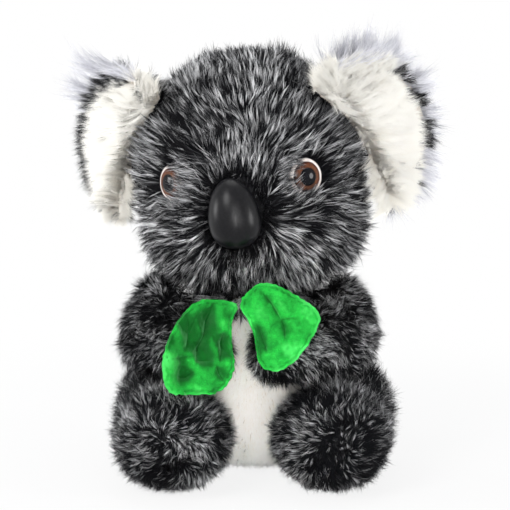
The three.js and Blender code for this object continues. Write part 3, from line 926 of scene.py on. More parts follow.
@dataclass
class Furrier:
    """Roots coats on hides and keeps them clear of their neighbours."""

    hides: list[Hide] = field(default_factory=list)
    covers: list[BVHTree] = field(default_factory=list)
    nearest: float = 2.5

    def roots(self, hide: Hide, coat: Coat) -> Roots:
        """Clump roots of a coat on a hide, without those that lie under another body.

        Args:
            hide: The skin.
            coat: The coat to grow on it.

        Returns:
            The roots.
        """
        rng = np.random.default_rng(coat.seed + SEED)
        points, normals = scattered(*hide.triangles(), coat.spacing, rng)
        if coat.keep:
            kept = coat.keep(points, normals)
            points, normals = points[kept], normals[kept]
        open_air = np.array([self._open(hide, Vector(p), Vector(n)) for p, n in zip(points, normals)])
        points, normals = points[open_air], normals[open_air]
        return Roots(points, normals, flat(coat.flow(points, normals), normals))

    def _open(self, hide: Hide, point: Vector, normal: Vector) -> bool:
        """Whether a point of a hide has room for pile above it."""
        others = (other for other in self.hides if other is not hide)
        return not any(other.covers(point, normal, self.nearest) for other in others)

    def room(self, roots: Roots, lean: float, reach: float) -> Array:
        """How far above each root the leaves lie, along the way that the pile leans.

        Args:
            roots: Where the clumps are rooted.
            lean: How far they lean, in radians.
            reach: How far to look.

        Returns:
            The room in millimetres.
        """
        ahead = unit(roots.normals * math.cos(lean) + unit(roots.flows) * math.sin(lean))
        room = np.full(len(roots.points), reach)
        for i, (point, way) in enumerate(zip(roots.points, ahead)):
            for tree in self.covers:
                hit = tree.ray_cast(Vector(point), Vector(way), reach)
                if hit[0] is not None:
                    room[i] = min(room[i], 0.8 * hit[3] * math.cos(lean))
        return room

    def grow(self, hide: Hide, coat: Coat, under_leaves: bool = False) -> bpy.types.Object:
        """Grows a coat on a hide."""
        roots = self.roots(hide, coat)
        lean = math.radians(sum(coat.lean) / 2)
        pressed = self.room(roots, lean, 2 * coat.length) if under_leaves else None
        return coat.grow(roots, pressed)


# Head

HEAD_ORIGIN = Vector((2.0, 0.0, 100.0))
HEAD_TURN = Matrix.Rotation(math.radians(-9), 4, "Z") @ Matrix.Rotation(math.radians(-4), 4, "Y")
HEAD_FRAME = Matrix.Translation(HEAD_ORIGIN) @ HEAD_TURN


@dataclass
class Eye:
    """A moulded eye: white cup, brown ring and black button."""

    side: Side
    seat: Point
    axis: Point
    overhang: float
    radius: float = 9.1
    iris_radius: float = 7.3
    pupil_radius: float = 4.2
    dome_radius: float = 15.0
    apex: float = 2.2
    back: float = 4.6
    stem_radius: float = 2.2
    stem_length: float = 16.0
    turns: int = 72

    def frame(self) -> Matrix:
        """The eye's own frame, with +Z out of the face."""
        turn = Vector((0, 0, 1)).rotation_difference(Vector(self.axis))
        return Matrix.Translation(self.seat) @ turn.to_matrix().to_4x4()

    def aside(self, points: Array) -> Array:
        """The parts of the ways from the eye's seat to points that lie across its axis."""
        away = points - np.array(self.seat)
        axis = np.array(self.axis)
        return away - (away @ axis)[:, None] * axis

    def inner(self, points: Array, nose: Point) -> Array:
        """How much points lie on the nose's side of the eye, from -1 to 1."""
        to_nose = across(np.array(nose)[None] - np.array(self.seat), np.array(self.axis)[None])
        return (unit(self.aside(points)) * to_nose).sum(1)

    def dome(self, radius: float) -> float:
        """How far the dome stands out at a radius."""
        return self.apex - self.dome_radius + math.sqrt(self.dome_radius**2 - radius**2)

    def arc(self, start: float, end: float, rise: float = 0.0, steps: int = 10) -> list[tuple[float, float]]:
        """Points along the dome between two radii."""
        radii = np.linspace(start, end, steps + 1)
        return [(float(r), self.dome(float(r)) + rise) for r in radii]

    def spun(self, profile: Sequence[tuple[float, float]]) -> bmesh.types.BMesh:
        """Spins a profile of radius and height that starts and ends on the eye's axis.

        Args:
            profile: Radius and height of each point.

        Returns:
            The turned mesh.
        """
        bm = bmesh.new()
        line = [bm.verts.new((radius, 0, height)) for radius, height in profile]
        edges = [bm.edges.new(pair) for pair in zip(line, line[1:])]
        bmesh.ops.spin(
            bm, geom=line + edges, cent=(0, 0, 0), axis=(0, 0, 1), dvec=(0, 0, 0),
            angle=2 * math.pi, steps=self.turns, use_merge=True, use_duplicate=False,
        )
        bmesh.ops.remove_doubles(bm, verts=bm.verts, dist=0.002)
        bmesh.ops.recalc_face_normals(bm, faces=bm.faces)
        return bm

    def build(self) -> None:
        """Makes the three visible pieces."""
        word, lip, stem = self.side.word, 0.5, self.stem_radius
        rim, ring, button = self.radius, self.iris_radius, self.pupil_radius
        cup = [
            (0, -self.stem_length), (stem * 0.6, -self.stem_length), (stem, -self.stem_length + 1),
            (stem, -self.back - 0.5), (stem + 0.5, -self.back), (rim - lip, -self.back),
            (rim, -self.back + lip), (rim, self.dome(rim) - 0.9), (rim - 0.15, self.dome(rim) - 0.35),
            (rim - 0.45, self.dome(rim - 0.45)), *self.arc(rim - 0.6, ring + 0.35, steps=4),
            (ring + 0.12, self.dome(ring) - 0.25), (ring + 0.1, -2.4), (0, -2.4),
        ]
        iris = [
            (0, -2.1), (ring, -2.1), (ring, self.dome(ring) - 0.45), (ring - 0.15, self.dome(ring) - 0.25),
            *self.arc(ring - 0.4, button + 0.2, -0.15), (button + 0.1, -0.9), (0, -0.9),
        ]
        pupil = [
            (0, -0.6), (button, -0.6), (button, self.dome(button) - 0.3),
            (button - 0.12, self.dome(button) - 0.08), *self.arc(button - 0.35, 0.0, 0.05, steps=12),
        ]
        white = MouldedFinish("eye white", (0.86, 0.76, 0.71), (0.90, 0.83, 0.79), 0.22, coat=0.6)
        black = MouldedFinish(
            "eye black", (0.002, 0.002, 0.003), (0.004, 0.004, 0.006), 0.07, specular=0.14, ripple=0.005
        )
        self._piece(f"{word}_eye_cup", cup, white.material(), f"{word}_eye_white")
        self._piece(f"{word}_eye_ring", iris, IrisFinish().material(), f"{word}_eye_iris")
        self._piece(f"{word}_eye_button", pupil, black.material(), f"{word}_eye_pupil")

    def _piece(
        self, name: str, profile: Sequence[tuple[float, float]], material: bpy.types.Material,
        node: str,
    ) -> None:
        """Makes one turned piece of the eye in place of its CAD node."""
        bm = self.spun(profile)
        layer = bm.loops.layers.uv.new(STRAND_UV)
        for face in bm.faces:
            middle = face.calc_center_median()
            turn = math.atan2(middle.y, middle.x)
            for loop in face.loops:
                co = loop.vert.co
                own = math.atan2(co.y, co.x)
                own += 2 * math.pi * round((turn - own) / (2 * math.pi))
                out = (math.hypot(co.x, co.y) - self.pupil_radius) / (self.iris_radius - self.pupil_radius)
                loop[layer].uv = ((own + math.pi) / (2 * math.pi), out)
        bmesh.ops.transform(bm, matrix=self.frame(), verts=bm.verts)
        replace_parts(placed(name, bm, "head", material), node)


@dataclass
class Nose:
    """A moulded satin egg, narrow at the top."""

    place: Point = (-9.613, -59.05, 131.922)
    half_width: float = 12.5
    front: float = 11.5
    back: float = 5.0
    rise: float = 20.5
    drop: float = 13.2
    full_below: float = 2.3
    full_above: float = 1.9
    stem_radius: float = 2.2
    stem_length: float = 18.0
    roll: float = 4.5

    def build(self) -> None:
        """Makes the nose in place of its CAD node."""
        bm = bmesh.new()
        bmesh.ops.create_uvsphere(bm, u_segments=96, v_segments=64, radius=1.0)
        for vert in bm.verts:
            fall = math.acos(max(-1.0, min(1.0, -vert.co.z)))
            turn = math.atan2(vert.co.y, vert.co.x)
            up = -math.cos(fall)
            power = 2 / (self.full_below if up < 0 else self.full_above)
            spread = math.sin(fall) ** power
            height = math.copysign(abs(up) ** power, up)
            depth = self.front if math.sin(turn) < 0 else self.back
            vert.co = (
                self.half_width * spread * math.cos(turn),
                depth * spread * math.sin(turn),
                (self.drop if up < 0 else self.rise) * height,
            )
        stem = bmesh.ops.create_cone(
            bm, cap_ends=True, segments=24, radius1=self.stem_radius, radius2=self.stem_radius * 0.8,
            depth=self.stem_length,
        )
        turn = Matrix.Translation((0, self.stem_length / 2, 0)) @ Matrix.Rotation(-math.pi / 2, 4, "X")
        bmesh.ops.transform(bm, matrix=turn, verts=stem["verts"])
        roll = Matrix.Rotation(math.radians(-self.roll), 4, "Y")
        bmesh.ops.transform(bm, matrix=Matrix.Translation(self.place) @ HEAD_TURN @ roll, verts=bm.verts)
        finish = MouldedFinish(
            "nose plastic", (0.002, 0.002, 0.003), (0.005, 0.005, 0.006), 0.32, grain=1.2, specular=0.2,
        )
        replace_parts(placed("nose_moulding", bm, "head", finish.material()), "nose")


EYES = (
    Eye(Side.LEFT, (24.724, -46.768, 151.201), (0.50743, -0.85407, 0.11432), 10.5),
    Eye(Side.RIGHT, (-40.807, -36.379, 146.561), (-0.75613, -0.65394, 0.02486), 11.0),
)


@dataclass
class Head:
    """The head's hide and its coats, parted along the crown seam."""

    seam_ahead: float = 8.0
    nose: Nose = field(default_factory=Nose)
    eye_clear: float = 9.4
    whorl: Point = (10.0, -50.0, 134.7)
    muzzle: Point = (-9.6, -50.0, 130.0)
    muzzle_reach: float = 22.0
    # middle and reach of the painted shade round the nose
    shaded: Point = (-9.6, -52.0, 131.0)
    shaded_reach: float = 19.0
    crown: tuple[float, float] = (60.0, 85.0)
    temples: tuple[float, float] = (-8.0, 30.0)
    bridge: Point = (0.0, 12.0, 2.0)
    parted: float = 60.0
    laid_round_eyes: float = 0.8
    # reach and outward offset of the painted shadow outside each eye
    eye_patch: float = 9.0
    eye_patch_out: float = 12.0
    top: tuple[float, float] = (45.0, 75.0)
    jaw: tuple[float, float] = (-2.0, 8.0)
    cheeks: tuple[float, float] = (0.0, 30.0)
    ear_edge_across: tuple[float, float] = (-24.0, 10.0)
    ear_edge_ahead: tuple[float, float] = (-12.0, 0.5)
    ear_edge_foot: float = -6.0

    def hide(self) -> Hide:
        """The skin under the head's fur."""
        nodes = ("face_cover", "head_back_cover", "head_stuffing")
        plugs = tuple(f"{side.word}_eye_white" for side in Side)
        return Hide("head_hide", "head", nodes, 5.0, slot=Slot.GREY_FUR, plugs=plugs).build()

    def local(self, points: Array) -> Array:
        """Points in the head's own frame."""
        return into(HEAD_FRAME, points)

    def flow(self, points: Array, normals: Array) -> Array:
        """Pile runs out from the nose and a whorl beside it, then down the cheeks and the back.

        Args:
            points: Places in millimetres.
            normals: The skin's normals there.

        Returns:
            The way that the pile lies at each place, shorter where it stands up.
        """
        flow = np.zeros_like(points)
        bridge = np.array(self.nose.place) + self.bridge
        for source, share in ((bridge, 1.0), (np.array(self.whorl), 0.8)):
            away = flat(points - source, normals)
            flow += share * away / (1.0 + (away**2).sum(1, keepdims=True) / self.parted)
        flow = unit(flow)
        down = across(np.tile((0.0, 0.0, -1.0), (len(points), 1)), normals)
        own = self.local(points)
        back = smooth(own[:, 1], *self.temples)[:, None]
        low = smooth(-own[:, 2], -32.0, 4.0)[:, None] * 0.4
        flow = flow * (1 - 0.75 * back) + down * (0.9 * back + low)
        for eye in EYES:
            aside = eye.aside(points)
            far = np.linalg.norm(aside, axis=1)
            weight = bell(np.maximum(far - self.eye_clear, 0.0), 5.0)
            weight = weight * (np.linalg.norm(points - np.array(eye.seat), axis=1) < 30)
            inner = smooth(eye.inner(points, self.nose.place), -0.3, 0.4)
            weight = self.laid_round_eyes * (weight * (1 - inner))[:, None]
            flow = flow * (1 - weight) + unit(aside) * weight
        return 1.3 * flow + 0.28 * tousled(0, 11.0, points) + 0.18 * tousled(70, 4.0, points)

    def clear(self, points: Array) -> Array:
        """Whether roots are clear of the eyes and the nose.

        Args:
            points: Places in millimetres.

        Returns:
            A mask of the places.
        """
        kept = np.ones(len(points), bool)
        for eye in EYES:
            far = np.linalg.norm(points - np.array(eye.seat), axis=1) > 25
            kept &= (np.linalg.norm(eye.aside(points), axis=1) > self.eye_clear) | far
        nose = (points - np.array(self.nose.place)) @ np.array(HEAD_TURN)[:3, :3]
        tall = np.where(nose[:, 2] > 0, self.nose.rise - 1.5, self.nose.drop - 1.0)
        inside = (nose[:, 0] / (self.nose.half_width - 1.2)) ** 2 + (nose[:, 2] / tall) ** 2 < 1
        return kept & ~(inside & (nose[:, 1] < 30) & (points[:, 1] < 0))

    def lengths(self, points: Array) -> Array:
        """Shorter pile on the muzzle and round the eyes."""
        share = 1 - 0.35 * near(points, self.muzzle, self.muzzle_reach)
        own = self.local(points)
        seam = bell(own[:, 1] + self.seam_ahead, 3.0) * smooth(own[:, 2], *self.crown)
        return share * (1 - 0.5 * seam) * (1 - 0.22 * smooth(own[:, 2], *self.top))

    def tones(self, points: Array) -> Array:
        """Painted shade round the nose and painted shadow outside the eyes, light along the jaw.

        Args:
            points: Places in millimetres.

        Returns:
            What each place adds to its clump's tone.
        """
        patches = 0.10 * Ripples(SEED + 11, 13.0)(points) + 0.08 * Ripples(SEED + 12, 5.0)(points)
        # painted shade round the nose, on top of random patches of tone
        shade = patches - 0.22 * near(points, self.shaded, self.shaded_reach)
        # painted shadow on the outer side of each eye
        for eye in EYES:
            outside = np.array((0.8 * eye.side.value, 0.6, 0.0))
            shadow_middle = tuple(np.array(eye.seat) + self.eye_patch_out * outside)
            shade -= 0.6 * near(points, shadow_middle, self.eye_patch)
        own = self.local(points)
        jaw = smooth(-own[:, 2], *self.jaw) * smooth(-own[:, 1], *self.cheeks)
        seam = bell(own[:, 1] + self.seam_ahead - 2.0, 4.0) * smooth(own[:, 2], *self.crown)
        return shade + 0.22 * jaw - 0.3 * seam - 0.10 * smooth(own[:, 1], *self.cheeks)

    def coats(self) -> list[Coat]:
        """The coats of the head, in four quarters.

        Returns:
            The coats, in the order they are grown.
        """
        base = Coat(
            "", "head", Slot.GREY_FUR, "head", 100, 0, spacing=1.1, spread=0.45, width=0.18, gather=0.4,
            stray=0.5, length=13.5, uneven=0.14, lean=(48.0, 80.0), curl=17.0, tone=0.31,
            tone_spread=(0.38, 0.10), flow=self.flow, tones=self.tones, lengths=self.lengths,
        )
        made = []
        for k, side in enumerate(Side):
            for j, front in enumerate((True, False)):
                made.append(replace(
                    base, name=f"{side.word}_{'face' if front else 'crown_back'}_fur", seed=100 + 10 * k + j,
                    strands=38000 if front else 17000, keep=self._quarter(side, front),
                ))
        lashes = [self._lashes(eye) for eye in EYES]
        return made + lashes + [self._ear_edge(ear) for ear in EARS] + [self._nose_edge()]

    def _nose_edge(self) -> Coat:
        """The pile that stands close round the nose and laps over its edge, given a low tone as painted shade
        round the nose.
        """
        nose = np.array(self.nose.place)

        def keep(points: Array, normals: Array) -> Array:
            """Roots in a ring close round the nose."""
            own = (points - nose) @ np.array(HEAD_TURN)[:3, :3]
            far = np.hypot(own[:, 0] / (self.nose.half_width + 3.5), own[:, 2] / (self.nose.rise + 2.0))
            return (far < 1.0) & (points[:, 1] < 0) & self.clear(points)

        def flow(points: Array, normals: Array) -> Array:
            """In towards the nose."""
            return -0.5 * unit(flat(points - nose, normals))

        # the low tone paints the shade round the nose
        return Coat(
            "nose_edge_fur", "head", Slot.GREY_FUR, "head", 145, 2600, spacing=0.8, length=10.5,
            lean=(4.0, 46.0), width=0.22, spread=0.5, gather=0.3, stray=0.6, curl=30.0, tone=0.14,
            tone_spread=(0.12, 0.14), flow=flow, keep=keep,
        )

    def _ear_edge(self, ear: "Ear") -> Coat:
        """The head's pile that laps over the root of an ear."""

        def keep(points: Array, normals: Array) -> Array:
            """Roots along the ear's root."""
            own = ear.local(points)
            beside = between(own[:, 1], *self.ear_edge_ahead) & between(own[:, 0], *self.ear_edge_across)
            return beside & between(own[:, 2], self.ear_edge_foot, ear.half_length)

        def flow(points: Array, normals: Array) -> Array:
            """Out along the ear."""
            out = np.array(ear.across_line) * ear.side.value
            return 0.5 * self.flow(points, normals) + out

        return Coat(
            f"{ear.side.word}_ear_edge_fur", "head", Slot.GREY_FUR, "head", 150 + ear.side.value, 3200,
            spacing=1.2, length=13.0, lean=(20.0, 60.0), width=0.22, spread=0.6, gather=0.5, stray=0.6,
            curl=14.0, tone=0.38, tone_spread=(0.26, 0.15), flow=flow, keep=keep,
        )

    def _lashes(self, eye: Eye) -> Coat:
        """The pile that hangs over an eye's rim from the nose's side."""

        def keep(points: Array, normals: Array) -> Array:
            """Roots round the eye, on the nose's side."""
            far = np.linalg.norm(eye.aside(points), axis=1)
            beside = between(far, eye.radius + 0.2, eye.radius + 5.5)
            near_eye = np.linalg.norm(points - np.array(eye.seat), axis=1) < 20
            return beside & near_eye & (eye.inner(points, self.nose.place) > 0.15) & self.clear(points)

        def flow(points: Array, normals: Array) -> Array:
            """In over the eye."""
            return self.flow(points, normals) - 1.2 * unit(eye.aside(points))

        return Coat(
            f"{eye.side.word}_eye_edge_fur", "head", Slot.GREY_FUR, "head", 140 + eye.side.value, 3000,
            spacing=0.8, length=eye.overhang, lean=(24.0, 72.0), width=0.22, spread=0.6, gather=0.4,
            stray=0.6, curl=12.0, tone=0.42, tone_spread=(0.18, 0.27), flow=flow, keep=keep,
        )

    def _quarter(self, side: Side, front: bool) -> Callable[[Array, Array], Array]:
        """A mask for one quarter of the head."""

        def keep(points: Array, normals: Array) -> Array:
            """Roots of this quarter."""
            own = self.local(points)
            ahead = own[:, 1] < -self.seam_ahead if front else own[:, 1] >= -self.seam_ahead
            return (own[:, 0] * side.value >= 0) & ahead & self.clear(points)

        return keep


# Ears


@dataclass
class Ear:
    """A half-moon flap: long white plush in front, dark pile and silver wisps behind."""

    side: Side
    place: Point
    across_line: Point
    root_line: Point
    lined: float
    fringed: float
    sweep: float
    wisps_from: float
    wisps_above: float
    wisps_rim: float
    wisps: int
    reach: float = 42.0
    half_length: float = 38.0
    foot_lined: float = 0.97
    corner_above: float = 20.0
    foot_below: float = -10.0
    wisps_top: float = 229.6
    wisps_rise: float = 27.0
    wisps_side: float = 103.0
    wisps_out: float = 23.0
    rooted_in: float = 2.5
    turns: tuple[float, float] = (-4.0, 5.0)
    leans_out: tuple[float, float] = (0.45, 0.95)
    edge_from: tuple[float, float] = (0.7, 0.95)
    edge_middle: float = 8.0
    swept_across: tuple[float, float] = (2.0, 14.0)
    swept_up: tuple[float, float] = (0.0, 20.0)
    sag: Point = (0.0, 0.0, -0.08)
    # reach of the painted shade out from the ear's root
    root_shade: tuple[float, float] = (1.0, 9.0)
    # middle of the painted shade low in the lining
    hollow_shade: Point = (6.0, 0.0, -16.0)
    foot: Point = (0.0, 0.0, -30.0)
    cup: float = 4.0
    thickness: float = 1.4
    outline: tuple[tuple[float, float], ...] = (
        (-0.4, 0), (-0.5, 0.5), (-0.32, 0.9), (-0.08, 1.03), (0.32, 1.04), (0.72, 0.82), (0.95, 0.45), (1, 0),
        (0.93, -0.42), (0.68, -0.78), (0.32, -0.98), (-0.06, -0.92), (-0.32, -0.56),
    )

    def frame(self) -> Matrix:
        """The ear's own frame: X across, -Y ahead, Z along the root."""
        x, z = Vector(self.across_line), Vector(self.root_line)
        turn = Matrix((x, z.cross(x), z)).transposed().to_4x4()
        return Matrix.Translation(self.place) @ turn

    def edge(self, around: int = 120, scale: float = 1.0) -> Array:
        """The cloth's outline in the ear's plane, as X and Z in millimetres."""
        shares = np.array(self.outline) * (self.side.value, 1)
        return closed_curve(shares * (self.reach, self.half_length) * scale, around)

    def flap(self, head: Hide) -> bpy.types.Object:
        """The cloth flap between the two coats.

        Args:
            head: The skin that it stands in.

        Returns:
            The piece.
        """
        bm = disc(self.edge(scale=0.96), 24, lambda point, share: -self.cup * share**2 - self.thickness / 2)
        matrix = self.frame()
        sunk = [v for v in bm.verts if self.in_head(matrix @ v.co, head) or self.past_root(v.co)]
        bmesh.ops.delete(bm, geom=sunk, context="VERTS")
        faces = bm.faces[:]
        bmesh.ops.solidify(bm, geom=faces, thickness=self.thickness)
        bmesh.ops.recalc_face_normals(bm, faces=bm.faces)
        bmesh.ops.transform(bm, matrix=matrix, verts=bm.verts)
        word = self.side.word
        piece = placed(f"{word}_ear_flap", bm, f"{word}_ear", PALE_BACKING.material())
        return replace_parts(piece, f"{word}_ear_lining", f"{word}_ear_back")

    def root_at(self, z: float | Array) -> float | Array:
        """How far across the ear's root line lies, where the flap comes out of the head's fur."""
        return self.reach * (0.1 - 0.3 * (z / self.half_length + 0.15) ** 2)

    def past_root(self, own: Vector) -> bool:
        """Whether a point in the ear's frame lies on the head's side of the root line."""
        return own.x * self.side.value < self.root_at(own.z)

    def in_head(self, point: Vector, head: Hide, near_to: float = 3.0) -> bool:
        """Whether a point lies in the head or just over its skin."""
        _, _, _, distance = head.tree.find_nearest(point)
        return distance < near_to or head.covers(point, Vector((0, -1, 0)))

    def sheet(self, front: bool) -> tuple[Array, Array]:
        """Triangles of one face of the flap, and their normals, in the model's frame.

        Args:
            front: Whether it is the face that looks ahead.

        Returns:
            Corners and corner normals.
        """
        bm = disc(self.edge(60), 10, lambda point, share: -self.cup * share**2)
        bmesh.ops.triangulate(bm, faces=bm.faces)
        frame_matrix = self.frame()
        turn = frame_matrix.to_3x3()
        points, normals = [], []
        for face in bm.faces:
            points.append([tuple(frame_matrix @ v.co) for v in face.verts])
            ways = []
            for v in face.verts:
                slope = Vector((v.co.x, 0, v.co.z)) * (2 * self.cup / self.reach**2)
                ways.append(tuple(turn @ (Vector((0, -1, 0)) - slope).normalized() * (1 if front else -1)))
            normals.append(ways)
        bm.free()
        return np.array(points), np.array(normals)

    def local(self, points: Array) -> Array:
        """Points in the ear's frame, with X out from the root on either side."""
        return into(self.frame(), points) * (self.side.value, 1, 1)

    def rim(self, points: Array) -> Array:
        """How far out the points are, from 0 in the middle to 1 at the cloth's edge.

        Args:
            points: Places in millimetres.

        Returns:
            Each place's share of the way.
        """
        own = self.local(points)
        edge = self.edge(240) * (self.side.value, 1)
        turns, reaches = np.arctan2(edge[:, 1], edge[:, 0]), np.hypot(edge[:, 0], edge[:, 1])
        order = np.argsort(turns)
        turn = np.arctan2(own[:, 2], own[:, 0])
        reach = np.interp(turn, turns[order], reaches[order], period=2 * math.pi)
        return np.hypot(own[:, 0], own[:, 2]) / reach

    def flow(self, points: Array, normals: Array) -> Array:
        """Pile stands up in the middle and leans out all round.

        Args:
            points: Places in millimetres.
            normals: Not used.

        Returns:
            The way that the pile lies at each place, shorter where it stands up.
        """
        own = self.local(points)
        from_root = own[:, 0] - self.root_at(own[:, 2]) - self.rooted_in
        level = np.zeros(len(own))
        rim = smooth(self.rim(points), *self.leans_out)
        edge = smooth(self.rim(points), *self.edge_from)[:, None]
        away = np.stack([np.maximum(from_root, 0.0) + 6.0, level, 0.6 * own[:, 2]], 1) * (1 - edge)
        swept = self.sweep * smooth(own[:, 0], *self.swept_across) * smooth(own[:, 2], *self.swept_up)
        away += np.stack([own[:, 0] - self.edge_middle + swept, level, own[:, 2]], 1) * edge
        turned = 2 * smooth(from_root, *self.turns) - 1
        laid = ((0.5 + 0.5 * rim) * np.maximum(turned, 2 * edge[:, 0] - 1))[:, None]
        out = unit(away) * (self.side.value, 1, 1)
        turn = np.array(self.frame().to_3x3())
        return (out @ turn.T + self.sag + 0.3 * tousled(31, 8.0, points)) * laid

    def tones(self, points: Array) -> Array:
        """Painted shade, tan, along the ear's root and low in the middle of the lining."""
        own = self.local(points)
        root = 1 - smooth(own[:, 0] - self.root_at(own[:, 2]), *self.root_shade)
        hollow_shade = near(own, self.hollow_shade, 12.0)
        # painted shade: a lower tone, so tan, at the root and low in the middle
        return 0.04 * Ripples(SEED + 5, 6.0)(points) - 0.18 * root - 0.1 * hollow_shade

    def roots(self, coat: Coat, front: bool, head: Hide) -> Roots:
        """Clump roots on one face of the flap.

        Args:
            coat: The coat to grow.
            front: Whether it grows in front.
            head: The skin to stay out of.

        Returns:
            The roots.
        """
        rng = np.random.default_rng(coat.seed + SEED)
        points, normals = scattered(*self.sheet(front), coat.spacing, rng)
        points = points + normals * (self.thickness / 2 - 0.2)
        own = self.local(points)
        free = np.array([not self.in_head(Vector(p), head) for p in points])
        free &= own[:, 0] > self.root_at(own[:, 2])
        if coat.keep:
            free &= coat.keep(points, normals)
        points, normals = points[free], normals[free]
        return Roots(points, normals, flat(coat.flow(points, normals), normals))

    def fringe(self, points: Array) -> Array:
        """Whether points are where the dark fur of the back shows past the lining."""
        own = self.local(points)
        return (own[:, 2] < self.fringed) & (own[:, 0] > -4.0)

    def lined_to(self, points: Array) -> Array:
        """How far out the lining reaches, as a share of the way to the rim: less above the ear's foot."""
        low = smooth(-self.local(points)[:, 2], 18.0, self.half_length)
        return self.lined + (self.foot_lined - self.lined) * low

    def lining_lengths(self, points: Array) -> Array:
        """Shorter towards the rim."""
        reach = self.lined_to(points)
        foot = 0.8 * near(self.local(points), self.foot, 9.0)
        return 1 + foot - 0.5 * np.clip((self.rim(points) - reach + 0.3) / 0.3, 0.0, 1.0) ** 1.5

    def wisp_lengths(self, points: Array) -> Array:
        """Longer on the outer side, shorter at the very top."""
        longer = 0.9 + 0.45 * smooth(self.local(points)[:, 0], 10.0, 30.0)
        above = (self.wisps_top - points[:, 2]) / self.wisps_rise
        beside = (self.wisps_side - np.abs(points[:, 0])) / self.wisps_out
        return np.minimum(longer, np.minimum(above, beside))

    def spots(self, points: Array) -> Array:
        """Whether the rim is dark here, and not silver."""
        return Ripples(SEED + 21, 7.0)(points) > (-0.2 if self.side is Side.LEFT else -1.3)

    def coats(self) -> list[Coat]:
        """The coats of the front, then the wisps and the coat of the back.

        Returns:
            The coats, with the two that may grow behind at the end.
        """
        word, body, k = self.side.word, f"{self.side.word}_ear", 300 + 20 * (self.side is Side.LEFT)
        turn = np.array(self.frame().to_3x3())
        lining = Coat(
            f"{word}_ear_lining_plush", body, Slot.PLUSH, "plush", k, int(52000 * self.lined), spacing=1.2,
            length=13.5, lean=(24.0, 66.0), width=0.2, spread=0.9, gather=0.35, stray=0.8, curl=22.0,
            segments=2, soft=0.8, twist=16.0, tone=0.93, tone_spread=(0.1, 0.1), flow=self.flow,
            tones=self.tones, lengths=self.lining_lengths,
            keep=lambda p, n: (self.rim(p) < self.lined_to(p)) | ~self.fringe(p),
        )
        corner = replace(
            lining, name=f"{word}_ear_corner_plush", seed=k + 5, strands=4500, length=14.0,
            lean=(52.0, 78.0), curl=12.0, stray=1.1, lengths=None,
            flow=lambda p, n: np.tile(turn @ (-0.35 * self.side.value, 0.0, 1.0), (len(p), 1)),
            keep=lambda p, n: (self.local(p)[:, 2] > self.corner_above) & (self.local(p)[:, 0] < 6.0),
        )
        foot = replace(
            corner, name=f"{word}_ear_foot_plush", seed=k + 6, strands=2500, length=12.0,
            flow=lambda p, n: np.tile(turn @ (-self.side.value, 0.0, -0.15), (len(p), 1)),
            keep=lambda p, n: (self.local(p)[:, 2] < self.foot_below) & (self.local(p)[:, 0] < 7.0),
        )
        dark = Coat(
            f"{word}_ear_back_fur", body, Slot.DARK_FUR, "dark", k + 1, 12000, spacing=1.6, length=8.5,
            lean=(30.0, 72.0), width=0.22, segments=2, tone=0.46, flow=self.flow,
            keep=lambda p, n: (self.rim(p) < 0.8) | self.fringe(p) | (self.local(p)[:, 0] < 4.0),
        )
        rim = replace(
            dark, name=f"{word}_ear_rim_fur", seed=k + 2, strands=11000, spacing=1.0, length=7.5,
            lean=(8.0, 40.0), width=0.2, spread=0.5, tone=0.3,
            keep=lambda p, n: (self.rim(p) > self.lined_to(p) - 0.03) & self.fringe(p) & self.spots(p),
        )
        wisps = Coat(
            f"{word}_ear_wisps", body, Slot.DARK_FUR, "wisp", k + 3, self.wisps, spacing=2.2, length=20.0,
            uneven=0.1, lean=(46.0, 78.0), width=0.15, spread=1.4, gather=0.45, stray=1.5, curl=22.0,
            tone=0.5, tone_spread=(0.18, 0.2), flow=self.flow, lengths=self.wisp_lengths,
            keep=lambda p, n: self.wispy(p, self.wisps_rim) & (self.local(p)[:, 2] > self.wisps_above),
        )
        tips = replace(
            wisps, name=f"{word}_ear_tip_wisps", seed=k + 4, strands=3000, length=14.0, tone=0.7,
            keep=lambda p, n: self.wispy(p, 0.88) & ((self.local(p)[:, 2] > self.fringed) | ~self.spots(p)),
        )
        return [lining, corner, foot, rim, tips, wisps, dark]

    def wispy(self, points: Array, rim: float) -> Array:
        """Whether points are past a share of the way to the rim, where wisps grow."""
        return (self.rim(points) > rim) & (self.local(points)[:, 0] > self.wisps_from)

    def build(self, head: Hide) -> None:
        """Makes the flap and its coats."""
        self.flap(head)
        *front, wisps, dark = self.coats()
        for coat in front:
            coat.grow(self.roots(coat, True, head))
        wisps.grow(self.roots(wisps, self.side is Side.RIGHT, head))
        dark.grow(self.roots(dark, False, head))


EARS = (
    Ear(
        Side.LEFT, (48.3, -18.88, 164.553), (0.72065, 0.51167, 0.46783), (-0.41207, -0.22655, 0.88254),
        lined=0.82, fringed=21.0, sweep=36.0, wisps_from=1.0, wisps_above=-60.0, wisps_rim=0.76, wisps=9500,
    ),
    Ear(
        Side.RIGHT, (-56.274, -2.318, 157.15), (0.5855, -0.71854, -0.37535), (0.197, -0.32302, 0.92566),
        lined=0.81, fringed=36.0, sweep=110.0, wisps_from=4.0, wisps_above=8.0, wisps_rim=0.88, wisps=5500,
    ),
)


def closed_curve(points: Array, around: int) -> Array:
    """Points spaced evenly along a smooth closed curve through others.

    Args:
        points: The others.
        around: How many to give.

    Returns:
        The curve's points.
    """
    count = len(points)
    fine = []
    for i in range(count):
        a, b, c, d = (points[(i + k) % count] for k in (-1, 0, 1, 2))
        square, cube = 2 * a - 5 * b + 4 * c - d, 3 * b - a - 3 * c + d
        for t in np.linspace(0, 1, 24, endpoint=False):
            fine.append(0.5 * (2 * b + (c - a) * t + square * t**2 + cube * t**3))
    fine = np.array(fine)
    steps = np.linalg.norm(np.roll(fine, -1, 0) - fine, axis=1)
    total = np.concatenate([[0], np.cumsum(steps)])
    wanted = np.linspace(0, total[-1], around, endpoint=False)
    ring = np.vstack([fine, fine[:1]])
    return np.stack([np.interp(wanted, total, ring[:, k]) for k in range(2)], 1)


